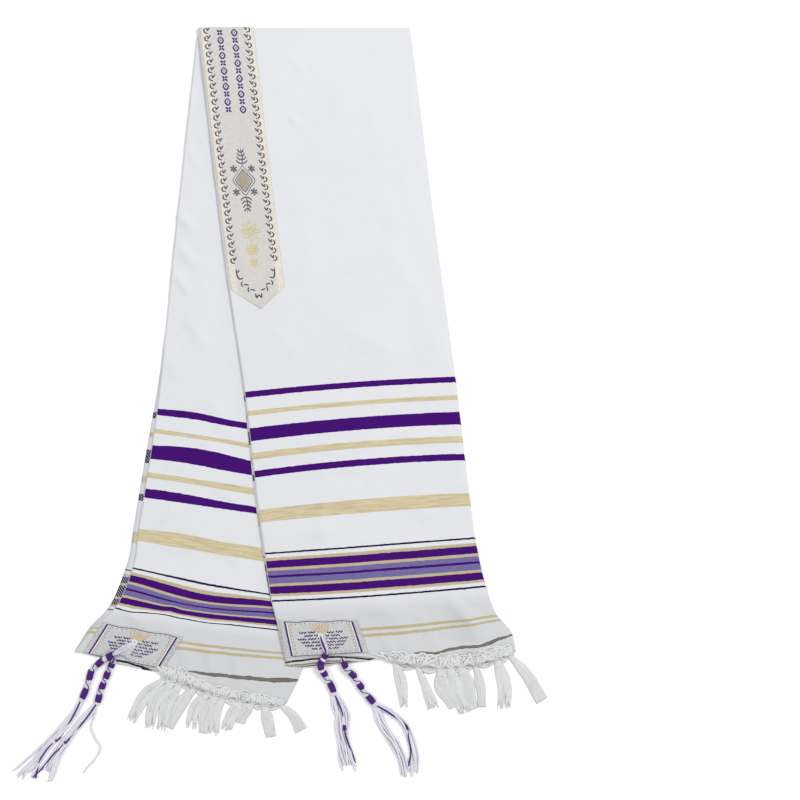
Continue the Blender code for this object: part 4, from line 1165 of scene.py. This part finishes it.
def tassel(node, table, seed):
    dice = random.Random(seed)
    threads = Threads()
    each = tassels["steps"]
    stem = settle(softRoute(table["beads"], each * (len(table["beads"]) - 1) + 1), 3.7, 60)
    wound = int(table["windings"][0][0] * each)
    threads.add(stem[wound::8], 2.6, 2.4, 10, white)
    for k, (start, end) in enumerate(table["windings"]):
        slot = white if k % 2 else purple
        first, last = int(start * each), int(end * each) + 1
        windCord(threads, stem[first:last], slot, *tassels["wound"][slot])
        if slot == white and end - start > tassels["longKnot"]:
            windCord(threads, stem[first - 4:last + 4], purple, *tassels["crossing"])
    # the doubled cords that come out of the eyelet or from under the hem
    lead = stem[:wound + 30]
    side = sideways(lead)
    t = np.linspace(0, 1, len(lead))
    middleCord = white if node == "tassel_back_upper" else purple     # there the purple one lies beneath
    for offset, slot in ((-2.3, white), (-0.4, middleCord), (1.5, white), (3.0, white)):
        route = lead.copy()
        aside = offset * (0.45 + 0.75 * np.sin(math.pi * np.minimum(t * 1.2, 1)) - 0.25 * t)
        route[:, :2] += side * aside[:, None]
        route[:, 2] += -2.3 + (0.9 if slot == purple else 0.0) - 2.6 * (1 - ease(t * 9))
        twistedCord(threads, route, slot)
    # loose strands below
    for lanes, spots in table["brushes"]:
        for k in range(lanes):
            lane = 0.0 if lanes == 1 else 2 * k / (lanes - 1) - 1
            route = softRoute(spots, 56)[:56 - dice.randint(0, 6)]
            t = np.linspace(0, 1, len(route))
            wander = drift(dice, t, 0.22, 1.2) + drift(dice, t, 0.10, 4, 2)
            line = route[:, :2] + sideways(route) * ((lane + wander) * np.maximum(route[:, 2], 0.6))[:, None]
            path = settle(line)
            level = 1.25 + (2.1 * ease(t * 2) if k % 2 else 0.0) * (0.75 + 0.25 * math.sin(k))
            path[:, 2] += level + 2.2 * (1 - ease(t * 6))
            radius = tassels["cord"] * (1 - 0.3 * ease((t - 0.93) / 0.07)) * (1 + 0.06 * np.sin(t * 40 + k))
            threads.add(path, radius, None, 8, white)
    path = settle(softRoute(table["purple"], 50))
    path[:, 2] += 3.3 + 1.3 * np.sin(np.linspace(0.5, 11, len(path)))
    threads.add(path, 1.0, None, 8, purple)
    windCord(threads, softRoute(path[slice(*tassels["knot"])], 60)[12:48], purple, 2.5, 1.6)
    piece = threads.piece(node.replace("_", ""), [whiteCord, purpleCord])
    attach(piece, "root")
    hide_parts(node)
    return piece


tasselPieces = {node: tassel(node, table, 11 + k) for k, (node, table) in enumerate(tasselTable.items())}


print("scarf: fringe")
fringes = {
    "yarnSpacing": 1.5,      # how far apart the loose yarns on a bundle lie
    "bulk": 0.9,             # half the thickness of a bundle
    "halfHeight": 0.36,
    "webYarn": 1.9,          # half width of the flat yarns in the knotted heading
    "overlap": 0.95,         # how far a bundle gathers its yarns from, in parts of the way to its neighbours
    "lastShare": 0.985,      # where along the hem the heading ends
    "steps": 30,             # down a bundle
}
# Where each heading starts along its hem, and its bundles. Each bundle: its place along the hem, how far out
# it is gathered, how far up the cloth its yarns start, its middle and its tip on the page, its width there
# and at the tip, and the locks that its tip parts into
fringeTable = {
    "fringe_front": (frontArm, 0.40, [
        (0.475, 2.0, 13, 158, -364, 163, -394, 13.5, 11.0, 2),
        (0.570, 3.0, 14, 190, -368, 200, -396, 9.5, 15.0, 3),
        (0.670, 3.5, 16, 212, -370, 225, -394, 15.0, 12.0, 1),
        (0.715, 3.0, 17, 229, -373, 240, -402, 17.0, 14.0, 2),
        (0.760, 2.0, 17, 244, -368, 252, -396, 15.0, 13.0, 1),
        (0.820, 2.0, 17, 262, -370, 262, -393, 9.5, 10.0, 1),
        (0.915, 2.0, 16, 291, -361, 292, -396, 15.5, 17.5, 2),
        (0.970, 2.0, 13, 318, -348, 342, -385, 11.0, 17.0, 1),
    ]),
    "fringe_back": (backArm, 0.405, [
        (0.435, 8.0, 11, -176, -379, -193, -412, 15.0, 13.0, 2),
        (0.475, 7.0, 17, -160, -382, -172, -421, 15.0, 13.0, 3),
        (0.510, 6.0, 14, -146, -387, -156, -423, 14.0, 14.0, 2),
        (0.575, 4.0, 10, -128, -387, -144, -420, 13.0, 12.0, 1),
        (0.640, 4.0, 9, -109, -391, -116, -421, 13.0, 13.0, 2),
        (0.675, 5.0, 9, -96, -398, -101, -427, 13.0, 12.0, 1),
        (0.710, 5.0, 10, -84, -400, -87, -430, 13.0, 14.0, 2),
        (0.790, 4.0, 11, -62, -401, -70, -424, 14.0, 15.0, 3),
        (0.845, 4.0, 12, -43, -396, -52, -414, 12.0, 12.0, 1),
        (0.895, 5.0, 10, -18, -402, -13, -432, 12.0, 14.0, 1),
        (0.970, 2.0, 6, 12, -400, 28, -424, 9.0, 16.0, 1),
    ]),
}


def bundleYarns(threads, dice, number, knot, bundle):
    # the soft body of a bundle, parted into its locks, and loose yarns on it; single locks are cut blunt
    middle, tip, (width, tipWidth, locks) = bundle[3:5], bundle[5:7], bundle[7:]
    steps, bulk = fringes["steps"], fringes["bulk"]
    loose = 1.0 if locks > 1 else 0.15
    centre = softRoute([knot, middle, tip], steps)
    centre[:, 0] += 0.9 * np.sin(np.linspace(0, 5.5, steps) + number * 1.7) * np.linspace(0.2, 1, steps)
    side = sideways(centre)
    t = np.linspace(0, 1, steps)
    spread = width * (0.5 + 0.5 * ease(t * 2.6)) + (tipWidth - width) * ease(t * 1.6 - 0.6)
    for lock in range(locks):
        away = (lock + 0.5) / locks - 0.5
        line = centre + side * (away * spread * (1 + 0.22 * ease((t - 0.6) / 0.4)))[:, None]
        stop = steps - int(loose * dice.choice((2, 3, 3, 4)))
        path = settle(line[:stop])
        path[:, 2] += bulk + 0.15 * lock
        half = spread[:stop] / 2 / locks * (1.3 - 0.25 * ease((t[:stop] - 0.5) / 0.35))
        half *= 1 - 0.4 * loose * ease((t[:stop] - t[stop - 5]) / (t[4] - t[0]))
        threads.add(path, half, bulk, 14, 0)
    count = int(max(width, tipWidth) / fringes["yarnSpacing"]) + 2
    for k in range(count):
        lane = (k + dice.uniform(0.2, 0.8)) / count - 0.5
        lock = (min(int((lane + 0.5) * locks), locks - 1) + 0.5) / locks - 0.5
        parting = (lock - lane) * 0.25 * ease((t - 0.55) / 0.4) * (locks > 1)
        sway = drift(dice, t, 0.06, 1, 1, 2)
        fray = 0.13 * loose * dice.uniform(-1, 1) * ease((t - 0.65) / 0.35)
        line = centre + side * ((lane * 0.95 + parting + sway + fray) * spread)[:, None]
        stop = steps - int(round(loose * dice.choice((0, 0, 1, 1, 2, 3))))
        path = settle(line[:stop])
        arch = np.sqrt(max(0.1, 1 - (1.8 * lane) ** 2))
        path[:, 2] += bulk * (1.05 + arch) + 0.4 * (1 - ease(t[:stop] * 4))
        thin = 1 - 0.35 * loose * ease((t[:stop] - 0.8) / 0.2)
        halfWidth, flatness = dice.uniform(0.55, 1.05), dice.uniform(0.6, 1.1)
        threads.add(path, halfWidth * thin, fringes["halfHeight"] * flatness, 6, 0)


def fringe(node, arm, headingStart, bundles, seed):
    dice = random.Random(seed)
    threads = Threads()
    last = fringes["lastShare"]

    def hemSpot(share, out):
        # a place beside the hem, out from it
        x, y = place(arm, share, arm["hem"])
        aheadX, aheadY = place(arm, share + 0.01, arm["hem"])
        length = math.hypot(aheadX - x, aheadY - y)
        return float(x + (aheadY - y) / length * out), float(y - (aheadX - x) / length * out)

    def webYarn(spots, steps, size=1.0, above=0.4):
        # a soft yarn of the heading, laid on what is below it
        path = settle(softRoute(spots, steps))
        path[:, 2] += above + dice.uniform(0, 0.2)
        bulk = 1 + 0.2 * np.sin(np.linspace(0, 7, steps) + dice.uniform(0, 6))
        threads.add(path, fringes["webYarn"] * size * bulk, fringes["halfHeight"] * size, 6, 0)

    roots = [bundle[0] for bundle in bundles]
    gaps = [roots[1] - roots[0]] + list(np.diff(roots)) + [roots[-1] - roots[-2]]
    knots = [hemSpot(bundle[0], bundle[1]) for bundle in bundles]
    for number, (bundle, knot) in enumerate(zip(bundles, knots)):
        bundleYarns(threads, dice, number, knot, bundle)
        # flat yarns drawn in over the end of the cloth run together where the bundle is tied
        root, up = bundle[0], bundle[2]
        for k in range(9):
            lane = k / 4 - 1
            reach = lane * fringes["overlap"] * min(gaps[number if lane < 0 else number + 1], 0.10)
            high = up * dice.uniform(0.7, 1.0) * (1 - 0.3 * abs(lane))
            start = hemSpot(min(root + reach * dice.uniform(0.85, 1.35), last), -high)
            bend = hemSpot(min(root + reach * dice.uniform(0.55, 0.75), last), -high * 0.35)
            end = (knot[0] + lane * 3.2, knot[1] - dice.uniform(0, 3.0))
            webYarn([start, bend, end], 14, dice.uniform(0.5, 1.2), 0.35 + (k % 2) * 0.3)
        turn = np.linspace(0, 2 * math.pi, 13)[:-1]
        level = np.maximum(heightAt(*knot) + 1.8 + np.sin(turn) * 1.2, 0.6)
        ring = np.column_stack([knot[0] + np.cos(turn) * 3.6, knot[1] + np.sin(turn) * 0.9, level])
        threads.add(np.concatenate([ring, ring[:2]]), 0.9, None, 6, 0, up=(0.0, 1.0, 0.0))
    # flat swags that hang from knot to knot
    for first, second in zip(np.array(knots)[:-1], np.array(knots)[1:]):
        if np.linalg.norm(second - first) <= 40:
            for k in range(4):
                shift = [dice.uniform(-2, 2), 4.5 - 3.4 * k + dice.uniform(-1, 1)]
                middle = (first + second) / 2 + np.array(shift)
                webYarn([first, middle, second], 16, dice.uniform(0.9, 1.2), 0.45 + 0.15 * k)
    # strands that wander along the upper side of the heading, and short loops between
    ups = [(bundle[0], bundle[2]) for bundle in bundles]
    ups = [(headingStart, ups[0][1] * 0.6), *ups, (0.99, ups[-1][1] * 0.8)]
    for k in range(2):
        shares = np.linspace(headingStart + 0.01 * k, last, 46)
        sway = 1.2 * np.sin(shares * (61 + 23 * k) + 2 * k) + 0.9 * np.sin(shares * (147 - 31 * k) + 5 * k)
        outs = -smoothCurve(ups, shares) * (0.92 - 0.24 * k) + sway
        webYarn([hemSpot(share, out) for share, out in zip(shares, outs)], 110, 0.75, 0.4)
    for k in range(int((last - headingStart) * 36)):
        share = dice.uniform(headingStart, 0.97)
        reach = dice.uniform(0.008, 0.03) * dice.choice((-1, 1))
        high = float(smoothCurve(ups, share)) * dice.uniform(0.1, 0.95)
        bend = hemSpot(min(share + reach * 0.7, last), -high + dice.uniform(1.5, 4.5))
        end = hemSpot(min(share + reach, last), -high + dice.uniform(-3.5, 5.0))
        webYarn([hemSpot(share, -high), bend, end], 10, dice.uniform(0.35, 0.65), 0.75)
    piece = threads.piece(node.replace("_", ""), [fringeYarn])
    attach(piece, "root")
    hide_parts(node)
    return piece


fringePieces = {node: fringe(node, *table, 31 + k) for k, (node, table) in enumerate(fringeTable.items())}


print("scarf: studio")
view = {
    "centre": (156.0, 6.5),     # the middle of the picture, on the page
    "height": 2500.0,
    "frameWidth": 1040.0,       # what the picture takes in, at the height of the cloth
    "clothHeight": 5.0,
    "sensor": 36.0,
}
studio = {
    "floorSize": 8.0,
    "floorColour": (0.97, 0.97, 0.97),
    "skyColour": (1.0, 1.0, 1.0),
    "skyStrength": 0.62,
    "lights": [                 # name, place, aim, size, watts: in metres
        ("key", (1.9, 1.6, 3.0), (0.0, 0.0, 0.0), 1.7, 84.0),
        ("fill", (-2.2, -0.8, 3.0), (0.0, 0.0, 0.0), 2.4, 34.0),
    ],
}


def addStudio():
    sides = np.array([-0.5, 0.5]) * studio["floorSize"] / mm
    corners = np.array([[(x, y, 0.0) for y in sides] for x in sides])
    paleFloor = newMaterial("paleFloor", studio["floorColour"], 0.9)[0]
    floor = gridPiece("floor", corners, corners[..., :2], paleFloor)
    world = bpy.data.worlds.new("studioSky")
    world.use_nodes = True
    sky = {"Color": (*studio["skyColour"], 1.0), "Strength": studio["skyStrength"]}
    Nodes(world.node_tree).fill(world.node_tree.nodes["Background"], sky)
    scene.world = world
    for name, where, aim, size, watts in studio["lights"]:
        light = bpy.data.lights.new(name, "AREA")
        light.shape = "DISK"
        light.size = size
        light.energy = watts
        lamp = addObject(name, light)
        lamp.location = where
        lamp.rotation_euler = (Vector(aim) - Vector(where)).to_track_quat("-Z", "Y").to_euler()
    lens = bpy.data.cameras.new("photoCamera")
    lens.sensor_width = view["sensor"]
    lens.lens = view["sensor"] * (view["height"] - view["clothHeight"]) / view["frameWidth"]
    lens.clip_end = 20.0
    camera = scene.camera = addObject("photoCamera", lens)
    camera.location = Vector((*view["centre"], view["height"])) * mm
    scene.view_settings.view_transform = "Standard"
    scene.view_settings.look = "None"


addStudio()
